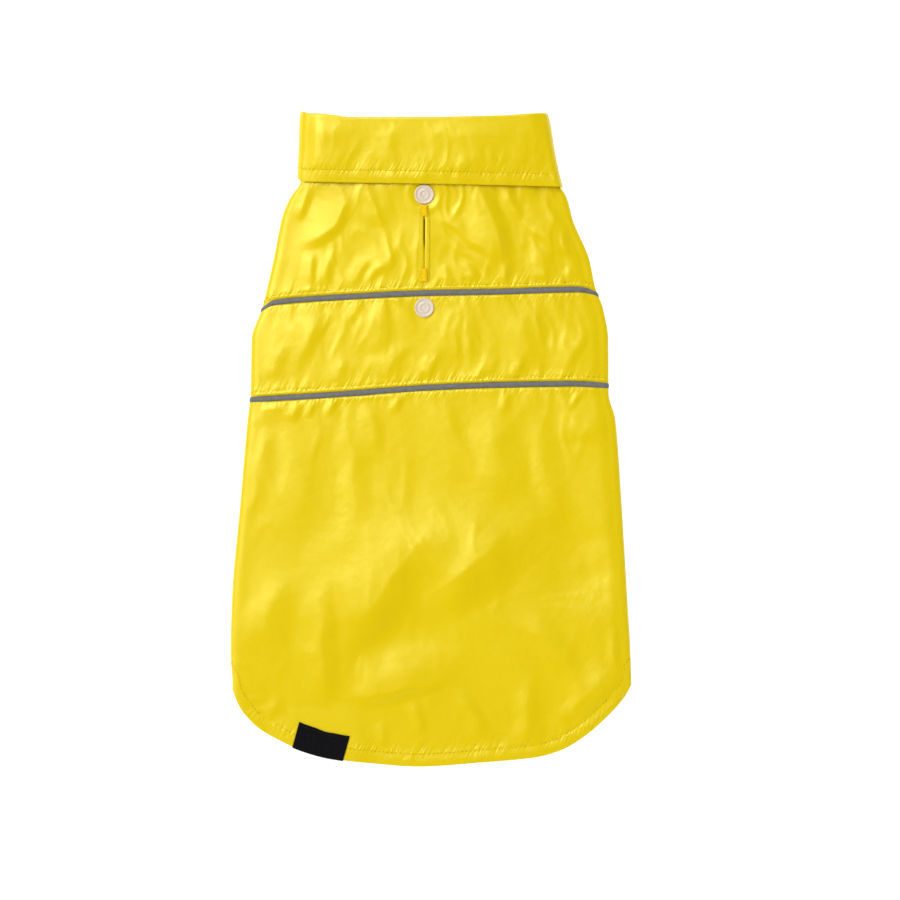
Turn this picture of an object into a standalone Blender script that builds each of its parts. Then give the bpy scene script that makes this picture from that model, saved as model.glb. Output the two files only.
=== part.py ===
"""A dog raincoat, laid flat with its back up.

The coat lies on z = 0 with its neck towards +Y. Its body is a flattened tube: the back's panels
lie on top, turn under at both sides and meet a belly panel at two side seams. A turned-down
collar closes the neck, two pipings cross the back, and a label is folded round the hem.
All sizes below are in millimetres.
"""

import math
from collections import namedtuple

import bmesh
import bpy
from mathutils import Matrix, Vector

MM = 0.001

# Driving dimensions, in millimetres.
CLOTH = 1.2  # thickness of every cloth wall
SEAM_GAP = 0.3  # between two pieces that are sewn together
SIDE_TURN = 26.0  # how far a seam runs on under the coat, from a side fold to a side seam
CENTRE_X = -4.0  # the coat's centre line, where the slot and the snaps are
NECK_SEAM_Y = 165.0  # where the back joins the collar's stand
NECK_MID_Z = 4.7  # middle height of the collar and of the neck under it
FALL_RADIUS = 4.7  # half the height of the flattened collar, over its outer turn
STAND_RADIUS = 3.1  # the same over its inner band, the stand
PIPING_WIDTH = 3.6
PIPING_PROUD = 0.7  # how far a piping stands out of the panels beside it
SNAP_RADIUS = 5.8
SLIT_LENGTH = 30.0
SLIT_WIDTH = 1.8
WELT_LENGTH = 44.0
WELT_WIDTH = 6.4
WELT_CLOTH = 1.0
LABEL_LENGTH = 31.5
LABEL_DEPTH = 15.3
LABEL_CLOTH = 0.8
LEG_HOLE_WIDTH = 42.0
LEG_HOLE_LENGTH = 60.0

# How finely the walls are divided.
ACROSS_STEPS = 40
CROWDING = 0.35  # how far the columns draw together near the side folds
FOLD_STEPS = 5
MIDDLE_ROWS = 8
BACK_ROWS = 21
BELLY_ROWS = 18
BELLY_STEPS = 10
COLLAR_STEPS = 26  # across the collar's upper side
COLLAR_UNDER_STEPS = 14  # and across its underside
PIPING_SIDES = 6
LABEL_STEPS = 5
SNAP_SIDES = 24

# Rows of the back and the belly where the neck comes out from under the collar.
NECK_HEIGHTS = [155.0, 151.5, 148.5, 145.0, 141.0, 137.0]

# How the back lies where no fold raises it, in from its side folds and at its two ends.
CROWN_INSET = 30.0  # the back reaches the height of its crown this far in
FREE_INSET = 14.0  # its folds reach their full height this far in
HELD_SHARE = 0.3  # the share of that height that they have at a side fold
COLLAR_COVERS = 151.0  # folds are pressed flat from here up, under the collar
COLLAR_RELEASE = 9.0  # and are free this far below

# The flattened body, from the collar's stand to the hem: the x of its two side folds, the
# radius of those folds, the outer height of the back near a fold and along its middle, and
# the height of the underside.
Section = namedtuple("Section", "y left right fold edge crown under")
SECTIONS = [
    Section(165.0, -77.7, 73.6, 3.1, 7.8, 7.8, 1.6),
    Section(154.0, -78.1, 76.0, 3.1, 7.8, 7.8, 1.6),
    Section(151.0, -79.4, 77.2, 3.2, 7.6, 7.7, 1.6),
    Section(148.0, -82.0, 79.6, 3.6, 7.1, 7.4, 1.1),
    Section(144.0, -84.5, 81.6, 4.0, 6.6, 7.0, 0.4),
    Section(140.0, -86.6, 82.8, 4.3, 6.2, 6.7, 0.0),
    Section(132.0, -89.4, 84.8, 4.6, 5.8, 6.3, 0.0),
    Section(108.0, -94.2, 94.8, 5.0, 5.3, 5.7, 0.0),
    Section(92.0, -97.8, 98.2, 5.0, 5.2, 5.5, 0.0),
    Section(78.0, -101.4, 103.2, 5.0, 5.2, 5.5, 0.0),
    Section(60.0, -107.4, 106.2, 5.0, 5.2, 5.5, 0.0),
    Section(28.0, -108.0, 106.4, 5.0, 5.2, 5.6, 0.0),
    Section(12.0, -109.8, 110.4, 5.0, 5.2, 5.5, 0.0),
    Section(-36.0, -114.0, 114.0, 5.0, 5.1, 5.3, 0.0),
    Section(-96.0, -119.2, 117.6, 5.0, 5.0, 5.0, 0.0),
    Section(-126.0, -120.0, 119.4, 4.6, 4.6, 4.2, 0.0),
    Section(-148.0, -118.9, 120.0, 4.0, 4.0, 3.0, 0.0),
    Section(-172.0, -118.8, 120.0, 4.0, 2.2, 1.7, 0.0),
    Section(-188.0, -118.8, 120.0, 4.0, 1.3, 1.2, 0.0),
]

# The side seams on the underside, where the back's turned-under edges meet the belly panel.
SideSeam = namedtuple("SideSeam", "y left right")
SIDE_SEAMS = [
    SideSeam(165.0, -52.0, 48.0),
    SideSeam(110.0, -68.0, 68.0),
    SideSeam(30.0, -82.5, 81.0),
    SideSeam(-60.0, -90.0, 89.5),
    SideSeam(-124.0, -94.0, 93.5),
]

# The seams across the back: the y of each at points across it.
SeamPoint = namedtuple("SeamPoint", "x y")
UPPER_SEAM = [
    SeamPoint(-101.0, 77.7),
    SeamPoint(-96.6, 81.3),
    SeamPoint(-88.0, 82.7),
    SeamPoint(-50.0, 85.3),
    SeamPoint(-4.0, 87.5),
    SeamPoint(42.0, 88.5),
    SeamPoint(88.0, 89.9),
    SeamPoint(95.4, 88.6),
    SeamPoint(100.5, 84.6),
]
LOWER_SEAM = [
    SeamPoint(-108.4, 23.8),
    SeamPoint(-50.0, 27.4),
    SeamPoint(-4.0, 30.9),
    SeamPoint(42.0, 32.7),
    SeamPoint(88.0, 33.4),
    SeamPoint(107.5, 32.3),
]
HEM = [
    SeamPoint(-118.9, -150.2),
    SeamPoint(-116.8, -156.0),
    SeamPoint(-112.0, -164.0),
    SeamPoint(-102.6, -173.4),
    SeamPoint(-90.6, -180.2),
    SeamPoint(-78.6, -185.8),
    SeamPoint(-60.6, -190.8),
    SeamPoint(-36.0, -194.0),
    SeamPoint(-8.0, -196.0),
    SeamPoint(30.0, -193.6),
    SeamPoint(62.0, -190.6),
    SeamPoint(77.4, -186.4),
    SeamPoint(92.0, -177.8),
    SeamPoint(107.4, -164.0),
    SeamPoint(117.0, -152.6),
    SeamPoint(120.0, -147.4),
]

# How a seam goes on under the coat: its rise at a distance in from the side fold.
TurnPoint = namedtuple("TurnPoint", "inset rise")
LEVEL_TURN = [TurnPoint(0.0, 0.0), TurnPoint(SIDE_TURN, 0.0)]
PIPING_TURN = [TurnPoint(0.0, 0.0), TurnPoint(SIDE_TURN, -5.0)]
HEM_TURN = [
    TurnPoint(0.0, 0.0),
    TurnPoint(4.0, 7.0),
    TurnPoint(12.0, 17.0),
    TurnPoint(SIDE_TURN, 28.0),
]
DEEPEST_TROUGH = 1.6  # troughs that cross don't go deeper than this
BELLY_HEM_LEFT_Y = -122.2
BELLY_HEM_RIGHT_Y = -119.4
BELLY_HEM_RISE = 27.0  # of the belly's hem at the middle, over its ends at the side seams

# The collar: the x of its two sides, and its crest and lower edge. Its columns are spaced at
# the middle of its fall and along its edge.
COLLAR_MIDDLE_Y = 174.0
COLLAR_LOWER_Y = 153.0
CollarSide = namedtuple("CollarSide", "y left right")
COLLAR_SIDES = [
    CollarSide(150.5, -79.8, 79.0),
    CollarSide(159.0, -79.8, 76.8),
    CollarSide(174.0, -79.2, 73.8),
    CollarSide(190.0, -78.7, 71.2),
    CollarSide(196.0, -78.0, 69.6),
]
COLLAR_CREST = [
    SeamPoint(-78.0, 196.0),
    SeamPoint(-72.6, 194.4),
    SeamPoint(-60.0, 193.6),
    SeamPoint(-48.6, 192.2),
    SeamPoint(0.0, 192.2),
    SeamPoint(24.0, 192.7),
    SeamPoint(47.0, 193.4),
    SeamPoint(60.0, 194.3),
    SeamPoint(69.6, 195.0),
]
COLLAR_CREST_UNDER = [
    SeamPoint(-78.0, 196.0),
    SeamPoint(-64.0, 195.4),
    SeamPoint(-52.0, 192.6),
    SeamPoint(0.0, 190.6),
    SeamPoint(46.0, 192.6),
    SeamPoint(60.0, 195.0),
    SeamPoint(69.6, 195.0),
]
COLLAR_EDGE = [
    SeamPoint(-79.8, 155.6),
    SeamPoint(-74.4, 153.7),
    SeamPoint(-4.0, 152.4),
    SeamPoint(79.0, 150.9),
]

# The largest folds of the back, as soft ridges (height above 0) and troughs (below 0).
Fold = namedtuple("Fold", "x y to_x to_y half_width height")
BODY_FOLDS = [
    # Neck panel: drawn in under the collar on the left.
    Fold(-82.0, 134.0, -68.0, 152.0, 5.5, 1.2),
    Fold(-86.0, 118.0, -64.0, 130.0, 7.0, 1.5),
    Fold(-64.0, 130.0, -49.0, 150.0, 7.0, 1.5),
    Fold(-54.0, 126.0, -39.0, 150.0, 12.0, 0.9),
    Fold(-30.0, 104.0, -34.0, 138.0, 12.0, 0.9),
    Fold(-82.0, 102.0, -61.0, 118.0, 8.0, 0.8),
    # Neck panel: fanning out from the slot, and drawn in under the collar on the right.
    Fold(4.0, 133.0, 20.0, 129.0, 6.0, 0.9),
    Fold(20.0, 129.0, 46.0, 102.0, 7.0, 1.2),
    Fold(45.0, 98.0, 40.0, 124.0, 9.0, 1.4),
    Fold(40.0, 124.0, 31.0, 150.0, 9.0, 1.4),
    Fold(70.0, 126.0, 50.0, 150.0, 6.5, 1.2),
    Fold(94.0, 104.0, 57.0, 123.0, 8.0, 1.3),
    Fold(81.0, 120.0, 66.0, 148.0, 8.0, 1.0),
    # Middle panel: hanging from the upper piping.
    Fold(-80.0, 38.0, -62.0, 74.0, 11.0, 1.5),
    Fold(-36.0, 44.0, -27.0, 76.0, 13.0, 1.3),
    Fold(9.0, 46.0, 9.0, 76.0, 11.0, 1.1),
    Fold(33.0, 42.0, 26.0, 66.0, 7.0, 0.8),
    Fold(48.0, 42.0, 57.0, 72.0, 13.0, 1.2),
    # Middle panel: at its two side folds.
    Fold(80.0, 47.0, 92.0, 66.0, 6.5, 1.3),
    Fold(-100.0, 60.0, -92.0, 74.0, 7.0, 0.8),
    # Lower back: the two peaks of the big crease, and the ridge and valley below them.
    Fold(-60.0, -138.0, -2.0, -48.0, 26.0, 3.4),
    Fold(-10.0, -88.0, 62.0, -38.0, 26.0, 3.2),
    Fold(100.0, -114.0, 54.0, -40.0, 20.0, -1.4),
    Fold(-60.0, -156.0, 48.0, -128.0, 15.0, 2.2),
    Fold(-60.0, -132.0, 58.0, -103.0, 18.0, -1.0),
    # Lower back: the long ridges that hang from the lower piping.
    Fold(17.0, -60.0, -7.0, 14.0, 16.0, 2.0),
    Fold(37.0, -30.0, 22.0, 16.0, 10.0, 1.2),
    Fold(-45.0, -70.0, -42.0, 0.0, 10.0, 1.4),
    Fold(-79.0, -56.0, -72.0, 10.0, 15.0, 1.3),
    Fold(70.0, 8.0, 104.0, 2.0, 14.0, 1.2),
    # Lower back: the ridges down its sides.
    Fold(-64.0, -164.0, -66.0, -74.0, 13.0, 1.9),
    Fold(-90.0, -120.0, -84.0, -70.0, 13.0, 1.5),
    Fold(104.0, -100.0, 78.0, -26.0, 14.0, 1.3),
    Fold(88.0, -146.0, 53.0, -100.0, 13.0, 1.5),
    # Lower back: drawn up by the hem.
    Fold(-6.0, -180.0, -5.0, -154.0, 8.0, 1.1),
    Fold(58.0, -180.0, 60.0, -138.0, 12.0, 1.6),
    Fold(76.0, -170.0, 90.0, -154.0, 7.0, 0.9),
]
COLLAR_FOLDS = [
    Fold(-69.0, 168.0, -63.0, 186.0, 12.0, 0.8),
    Fold(-22.0, 166.0, -30.0, 188.0, 9.0, 0.7),
    Fold(8.0, 164.0, 2.0, 186.0, 13.0, 0.6),
    Fold(40.0, 164.0, 36.0, 184.0, 10.0, 0.5),
    Fold(61.0, 162.0, 58.0, 186.0, 10.0, 0.6),
]

# Gathers at the pipings: where each starts along the seam, how far it leans and reaches
# away from it, up the coat above 0, and its size.
Gather = namedtuple("Gather", "x lean reach half_width height")
UPPER_GATHERS = [
    Gather(-86.0, -1.0, 11.0, 4.5, 0.6),
    Gather(-71.0, 2.0, 14.0, 5.0, 0.7),
    Gather(-57.0, 3.0, 18.0, 5.0, 0.6),
    Gather(-12.0, 4.0, 15.0, 5.0, 0.6),
    Gather(12.0, -3.0, 12.0, 4.5, 0.6),
    Gather(33.0, -6.0, 20.0, 5.5, 0.7),
    Gather(52.0, 4.0, 18.0, 5.5, 0.8),
    Gather(68.0, 1.0, 16.0, 5.0, 0.7),
    Gather(84.0, -2.0, 12.0, 4.5, 0.6),
]
MIDDLE_GATHERS = [
    Gather(-79.0, 3.0, 13.0, 5.0, 0.6),
    Gather(-52.0, 5.0, 17.0, 5.0, 0.7),
    Gather(-24.0, 5.0, 15.0, 4.5, 0.7),
    Gather(-8.0, 4.0, 19.0, 5.0, 0.7),
    Gather(8.0, -3.0, 16.0, 5.0, 0.6),
    Gather(38.0, -3.0, 12.0, 5.0, 0.6),
    Gather(64.0, -2.0, 15.0, 5.0, 0.7),
    Gather(80.0, 2.0, 11.0, 4.5, 0.6),
]
LOWER_GATHERS = [
    Gather(-96.0, 2.0, -13.0, 5.0, 0.7),
    Gather(-81.6, -3.0, -18.0, 5.0, 0.8),
    Gather(-60.0, -7.0, -16.0, 5.0, 0.7),
    Gather(-41.4, 5.0, -20.0, 5.0, 0.8),
    Gather(-24.0, 1.0, -11.0, 4.5, 0.6),
    Gather(2.0, 2.0, -12.0, 4.5, 0.6),
    Gather(32.0, 2.0, -10.0, 4.5, 0.6),
    Gather(50.0, 2.0, -13.0, 5.0, 0.7),
    Gather(64.0, 1.0, -17.0, 5.0, 0.8),
    Gather(78.0, 6.0, -14.0, 5.0, 0.7),
    Gather(95.0, 3.0, -11.0, 4.5, 0.6),
]

# Profile of a snap's cap, from its middle to its outer edge.
RingPoint = namedtuple("RingPoint", "radius height")
SNAP_PROFILE = [
    RingPoint(1.2, 1.0),
    RingPoint(1.8, 0.7),
    RingPoint(2.5, 1.3),
    RingPoint(3.1, 1.3),
    RingPoint(3.7, 0.9),
    RingPoint(4.5, 0.9),
    RingPoint(4.9, 1.5),
    RingPoint(5.4, 1.5),
    RingPoint(SNAP_RADIUS, 1.0),
    RingPoint(SNAP_RADIUS, 0.0),
]
UPPER_SNAP_Y = 146.3
LOWER_SNAP_Y = 78.8
SLIT_MIDDLE_Y = 118.0
WELT_MIDDLE_Y = 117.2
LABEL_LEFT_X = -83.0
LABEL_ANGLE = math.radians(-15.4)
LABEL_DEPTHS = [LABEL_DEPTH, 10.0, 5.0, 1.0]  # its rows, in from the hem's edge
LABEL_BED = 2.5  # height of the hem's outer face where the label is folded round it
LABEL_BED_REACH = 38.0  # that bed ends this far from the label's middle
LABEL_BED_RAMP = 16.0  # and slopes down over this width
LEG_HOLE_Y = 92.0
LEG_HOLE_OUT = 40.0  # from the belly's middle to the middle of a leg hole

YELLOW = (0.86, 0.70, 0.02, 1.0)
REFLECTIVE_GREY = (0.22, 0.22, 0.23, 1.0)
SNAP_WHITE = (0.83, 0.76, 0.62, 1.0)
LABEL_BLACK = (0.012, 0.012, 0.013, 1.0)


def smooth_curve(table, along, value):
    """A monotone cubic curve through two columns of a table, level past both ends."""
    rows = sorted(table, key=lambda row: getattr(row, along))
    at = [getattr(row, along) for row in rows]
    to = [getattr(row, value) for row in rows]
    rises = [(to[i + 1] - to[i]) / (at[i + 1] - at[i]) for i in range(len(rows) - 1)]
    slopes = [rises[0]]
    for before, after in zip(rises, rises[1:]):
        same_way = before * after > 0
        slopes.append(2 * before * after / (before + after) if same_way else 0.0)
    slopes.append(rises[-1])

    def curve(x):
        if x <= at[0]:
            return to[0]
        if x >= at[-1]:
            return to[-1]
        i = max(k for k in range(len(rises)) if at[k] <= x)
        step = at[i + 1] - at[i]
        t = (x - at[i]) / step
        start = (1 + 2 * t) * (1 - t) ** 2 * to[i] + t * (1 - t) ** 2 * step * slopes[i]
        end = t * t * (3 - 2 * t) * to[i + 1] + t * t * (t - 1) * step * slopes[i + 1]
        return start + end

    return curve


left_fold = smooth_curve(SECTIONS, "y", "left")
right_fold = smooth_curve(SECTIONS, "y", "right")
fold_radius = smooth_curve(SECTIONS, "y", "fold")
edge_height = smooth_curve(SECTIONS, "y", "edge")
crown_height = smooth_curve(SECTIONS, "y", "crown")
under_height = smooth_curve(SECTIONS, "y", "under")
left_side_seam = smooth_curve(SIDE_SEAMS, "y", "left")
right_side_seam = smooth_curve(SIDE_SEAMS, "y", "right")
collar_left = smooth_curve(COLLAR_SIDES, "y", "left")
collar_right = smooth_curve(COLLAR_SIDES, "y", "right")
collar_crest = smooth_curve(COLLAR_CREST, "x", "y")
collar_crest_under = smooth_curve(COLLAR_CREST_UNDER, "x", "y")
collar_edge = smooth_curve(COLLAR_EDGE, "x", "y")

Seam = namedtuple("Seam", "back turn")
neck_seam = Seam(lambda x: NECK_SEAM_Y, smooth_curve(LEVEL_TURN, "inset", "rise"))
upper_seam = Seam(smooth_curve(UPPER_SEAM, "x", "y"), smooth_curve(PIPING_TURN, "inset", "rise"))
lower_seam = Seam(smooth_curve(LOWER_SEAM, "x", "y"), smooth_curve(PIPING_TURN, "inset", "rise"))
hem = Seam(smooth_curve(HEM, "x", "y"), smooth_curve(HEM_TURN, "inset", "rise"))


def blend(start, end, t):
    return start + (end - start) * t


def ease(t):
    """0 up to t = 0, 1 from t = 1, and smooth between."""
    t = min(max(t, 0.0), 1.0)
    return t * t * (3 - 2 * t)


def fold_lift(fold, x, y):
    """How much a fold raises the cloth at a point."""
    run_x = fold.to_x - fold.x
    run_y = fold.to_y - fold.y
    along = ((x - fold.x) * run_x + (y - fold.y) * run_y) / (run_x**2 + run_y**2)
    along = min(max(along, 0.0), 1.0)
    off = math.hypot(x - fold.x - along * run_x, y - fold.y - along * run_y)
    if off >= fold.half_width:
        return 0.0
    crest = 0.4 + 0.6 * math.sin(math.pi * along)
    return fold.height * crest * math.cos(0.5 * math.pi * off / fold.half_width) ** 2


def gather_folds(gathers, seam):
    """The folds of a row of gathers, which start just clear of their seam's piping."""
    folds = []
    for gather in gathers:
        start = seam.back(gather.x) + math.copysign(0.6 * PIPING_WIDTH, gather.reach)
        folds.append(
            Fold(gather.x, start, gather.x + gather.lean, start + gather.reach,
                 gather.half_width, gather.height)
        )
    return folds


ALL_BODY_FOLDS = (
    BODY_FOLDS
    + gather_folds(UPPER_GATHERS, upper_seam)
    + gather_folds(MIDDLE_GATHERS, lower_seam)
    + gather_folds(LOWER_GATHERS, lower_seam)
)


def label_lift(x, y):
    """The share of the label's bed at a point: the hem lies over the label's folded end."""
    middle_x = LABEL_LEFT_X + 0.5 * LABEL_LENGTH
    off = math.hypot(x - middle_x, y - hem.back(middle_x) - 0.4 * LABEL_DEPTH)
    return ease((LABEL_BED_REACH - off) / LABEL_BED_RAMP)


def back_height(x, y):
    """Height of the back's outer face over the surface that the coat lies on."""
    inset = min(x - left_fold(y), right_fold(y) - x)
    base = blend(edge_height(y), crown_height(y), ease(inset / CROWN_INSET))
    relief = sum(fold_lift(fold, x, y) for fold in ALL_BODY_FOLDS)
    relief *= blend(HELD_SHARE, 1.0, ease(inset / FREE_INSET))
    relief *= ease((COLLAR_COVERS - y) / COLLAR_RELEASE)
    raised = max(base + relief, base - DEEPEST_TROUGH, CLOTH)
    return blend(raised, max(raised, LABEL_BED), label_lift(x, y))


Column = namedtuple("Column", "place at")
CROSSING_ROUNDS = 6


def columns_round(middle_steps):
    """The columns of a panel, from its left side seam over the back to its right one.

    An under column is at a share of the way from its side fold to its side seam, a fold
    column is at an angle, from -90 degrees on the underside to 90 on top, and a top column
    is at a share of the width.
    """
    turned = [1.0, 0.5]
    angles = [blend(-90.0, 90.0, step / FOLD_STEPS) for step in range(FOLD_STEPS + 1)]
    left = [Column("under_left", share) for share in turned]
    left += [Column("fold_left", angle) for angle in angles]
    right = [Column("fold_right", angle) for angle in reversed(angles)]
    right += [Column("under_right", share) for share in reversed(turned)]
    return left + [Column("top", share) for share in middle_steps] + right


def shares_across(slit=0.0):
    """Shares of the width, closer together near the folds; a slit parts the middle one."""
    shares = []
    for step in range(1, ACROSS_STEPS):
        even = step / ACROSS_STEPS
        rounded = 0.5 - 0.5 * math.cos(math.pi * even)
        shares.append(blend(even, rounded, CROWDING))
    middle = ACROSS_STEPS // 2 - 1
    if slit:
        shares[middle : middle + 1] = [0.5 - slit, 0.5 + slit]
    return shares


def top_x(share, y):
    """The x of a top column, which keeps share 0.5 on the coat's centre line."""
    start = left_fold(y) + fold_radius(y)
    end = right_fold(y) - fold_radius(y)
    if share < 0.5:
        return blend(start, CENTRE_X, 2 * share)
    return blend(CENTRE_X, end, 2 * share - 1)


def side_of(column):
    """The column's side fold, as a function of y, and the way out of the coat there."""
    return (left_fold, -1) if column.place.endswith("left") else (right_fold, 1)


def turned_x(column, y):
    """The x of an under column."""
    side_fold, way = side_of(column)
    side_seam = left_side_seam if way < 0 else right_side_seam
    return blend(side_fold(y) - way * fold_radius(y), side_seam(y), column.at)


def skin_point(column, y, depth=0.0):
    """A point of the coat's outer face at a column and y, sunk this deep into the cloth."""
    if column.place == "top":
        x = top_x(column.at, y)
        return Vector((x, y, back_height(x, y) - depth))
    side_fold, way = side_of(column)
    under = under_height(y)
    if column.place.startswith("under"):
        return Vector((turned_x(column, y), y, under + depth))
    radius = fold_radius(y)
    centre = side_fold(y) - way * radius
    half = 0.5 * (back_height(centre, y) - under)
    angle = math.radians(column.at)
    x = centre + way * (radius - depth) * math.cos(angle)
    return Vector((x, y, under + half + (half - depth) * math.sin(angle)))


def seam_y(seam, column):
    """The y at which a seam crosses a column. Each round of substitution brings it closer."""
    y = seam.back(CENTRE_X)
    if column.place == "top":
        for _ in range(CROSSING_ROUNDS):
            y = seam.back(top_x(column.at, y))
        return y
    side_fold, way = side_of(column)
    for _ in range(CROSSING_ROUNDS):
        y = seam.back(side_fold(y))
    if column.place.startswith("under"):
        return y + seam.turn(abs(side_fold(y) - turned_x(column, y)))
    inset = fold_radius(y) * (1 - math.cos(math.radians(column.at)))
    if column.at > 0:
        return seam.back(side_fold(y) - way * inset)
    return y + seam.turn(inset)


def principled(name, colour, roughness, metallic=0.0):
    material = bpy.data.materials.new(name)
    material.use_nodes = True
    shader = material.node_tree.nodes["Principled BSDF"]
    shader.inputs["Base Color"].default_value = colour
    shader.inputs["Roughness"].default_value = roughness
    shader.inputs["Metallic"].default_value = metallic
    material.diffuse_color = colour
    return material


def add_object(name, mesh_builder, material):
    """A named object from a bmesh in millimetres, with its faces turned outwards."""
    bmesh.ops.scale(mesh_builder, vec=(MM, MM, MM), verts=mesh_builder.verts)
    bmesh.ops.recalc_face_normals(mesh_builder, faces=mesh_builder.faces)
    mesh = bpy.data.meshes.new(name)
    mesh_builder.to_mesh(mesh)
    mesh_builder.free()
    mesh.materials.append(material)
    mesh.shade_smooth()
    mesh.set_sharp_from_angle(angle=math.radians(40))
    piece = bpy.data.objects.new(name, mesh)
    bpy.context.scene.collection.objects.link(piece)
    return piece


def wall(name, outer, inner, material, cut=()):
    """A closed wall between two grids of points, less the cells that are cut away."""
    rows = range(len(outer) - 1)
    steps = range(len(outer[0]) - 1)
    kept = {(i, j) for i in rows for j in steps} - set(cut)
    built = bmesh.new()
    vertices = {}

    def vertex(grid, i, j):
        key = (grid is outer, i, j)
        if key not in vertices:
            vertices[key] = built.verts.new(grid[i][j])
        return vertices[key]

    for i, j in sorted(kept):
        corners = [(i, j), (i + 1, j), (i + 1, j + 1), (i, j + 1)]
        built.faces.new([vertex(outer, *corner) for corner in corners])
        built.faces.new([vertex(inner, *corner) for corner in reversed(corners)])
        neighbours = [(i, j - 1), (i + 1, j), (i, j + 1), (i - 1, j)]
        for k, neighbour in enumerate(neighbours):
            if neighbour not in kept:
                a, b = corners[k], corners[(k + 1) % 4]
                edge = [vertex(outer, *b), vertex(outer, *a), vertex(inner, *a), vertex(inner, *b)]
                built.faces.new(edge)
    return add_object(name, built, material)


def swept(name, sections, material, closed=False):
    """A closed solid from like rings of points, capped at both ends unless it is closed."""
    built = bmesh.new()
    rings = [[built.verts.new(point) for point in section] for section in sections]
    pairs = list(zip(rings, rings[1:]))
    if closed:
        pairs.append((rings[-1], rings[0]))
    for ring, following in pairs:
        for k in range(len(ring)):
            after = (k + 1) % len(ring)
            built.faces.new((ring[k], ring[after], following[after], following[k]))
    if not closed:
        built.faces.new(rings[0])
        built.faces.new(list(reversed(rings[-1])))
    return add_object(name, built, material)


def panel(name, top_seam, bottom_seam, top_gap, bottom_gap, shares, rows, material, cut=()):
    """A panel of the back between two seams. rows are shares of the way down it."""
    columns = columns_round(shares)
    outer = []
    inner = []
    for down in rows:
        heights = []
        for column in columns:
            start = seam_y(top_seam, column) - top_gap
            heights.append(blend(start, seam_y(bottom_seam, column) + bottom_gap, down))
        outer.append([skin_point(c, y) for c, y in zip(columns, heights)])
        inner.append([skin_point(c, y, CLOTH) for c, y in zip(columns, heights)])
    return wall(name, outer, inner, material, cut)


def even_rows(count):
    return [row / count for row in range(count + 1)]


def build_neck_panel(material):
    """The neck panel, from the collar's stand to the upper piping, with the leash slit."""
    gap = 0.5 * PIPING_WIDTH + SEAM_GAP
    top = NECK_SEAM_Y - SEAM_GAP
    bottom = upper_seam.back(CENTRE_X) + gap
    slit_top = SLIT_MIDDLE_Y + 0.5 * SLIT_LENGTH
    slit_bottom = SLIT_MIDDLE_Y - 0.5 * SLIT_LENGTH
    # Rows close together under the collar's edge, then even, with one on each end of the slit.
    heights = [top] + NECK_HEIGHTS + [slit_top]
    heights += [blend(slit_top, slit_bottom, step / 4) for step in (1, 2, 3, 4)]
    heights += [blend(slit_bottom, bottom, 0.5), bottom]
    rows = [(top - y) / (top - bottom) for y in heights]
    half_width = 0.5 * (right_fold(SLIT_MIDDLE_Y) - left_fold(SLIT_MIDDLE_Y)) - 5.0
    shares = shares_across(slit=0.25 * SLIT_WIDTH / half_width)
    slit_column = columns_round(shares).index(Column("top", 0.5 - 0.25 * SLIT_WIDTH / half_width))
    first, last = heights.index(slit_top), heights.index(slit_bottom)
    cut = [(row, slit_column) for row in range(first, last)]
    return panel("neck_panel", neck_seam, upper_seam, SEAM_GAP, gap, shares, rows, material, cut)


def build_middle_panel(material):
    gap = 0.5 * PIPING_WIDTH + SEAM_GAP
    rows = even_rows(MIDDLE_ROWS)
    shares = shares_across()
    return panel("middle_panel", upper_seam, lower_seam, gap, gap, shares, rows, material)


def build_back_panel(material):
    """The lower back, from the lower piping to the rounded hem."""
    gap = 0.5 * PIPING_WIDTH + SEAM_GAP
    rows = even_rows(BACK_ROWS)
    return panel("back_panel", lower_seam, hem, gap, 0.0, shares_across(), rows, material)


def build_piping(name, seam, material):
    """A piping round the back, from side seam to side seam, pressed flat on the underside."""
    sections = []
    for column in columns_round(shares_across()):
        y = seam_y(seam, column)
        if column.place == "top":
            proud = PIPING_PROUD
        elif column.place.startswith("fold"):
            proud = PIPING_PROUD * 0.5 * (1 + math.sin(math.radians(column.at)))
        else:
            proud = 0.0
        middle = 0.5 * (CLOTH - proud)
        half = 0.5 * (CLOTH + proud)
        section = []
        for side in range(PIPING_SIDES):
            angle = 2 * math.pi * side / PIPING_SIDES
            across = 0.5 * PIPING_WIDTH * math.cos(angle)
            depth = middle - half * math.sin(angle)
            section.append(skin_point(column, y + across, depth))
        sections.append(section)
    return swept(name, sections, material)


def cutter(name, x):
    """An oval plug that cuts a leg hole."""
    built = bmesh.new()
    bmesh.ops.create_cone(
        built, cap_ends=True, segments=28, radius1=0.5, radius2=0.5, depth=1.0
    )
    bmesh.ops.scale(built, vec=(LEG_HOLE_WIDTH, LEG_HOLE_LENGTH, 6.0), verts=built.verts)
    bmesh.ops.translate(built, vec=(x, LEG_HOLE_Y, 0.5 * CLOTH), verts=built.verts)
    plug = add_object(name, built, None)
    plug.hide_render = True
    plug.display_type = "WIRE"
    return plug


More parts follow.
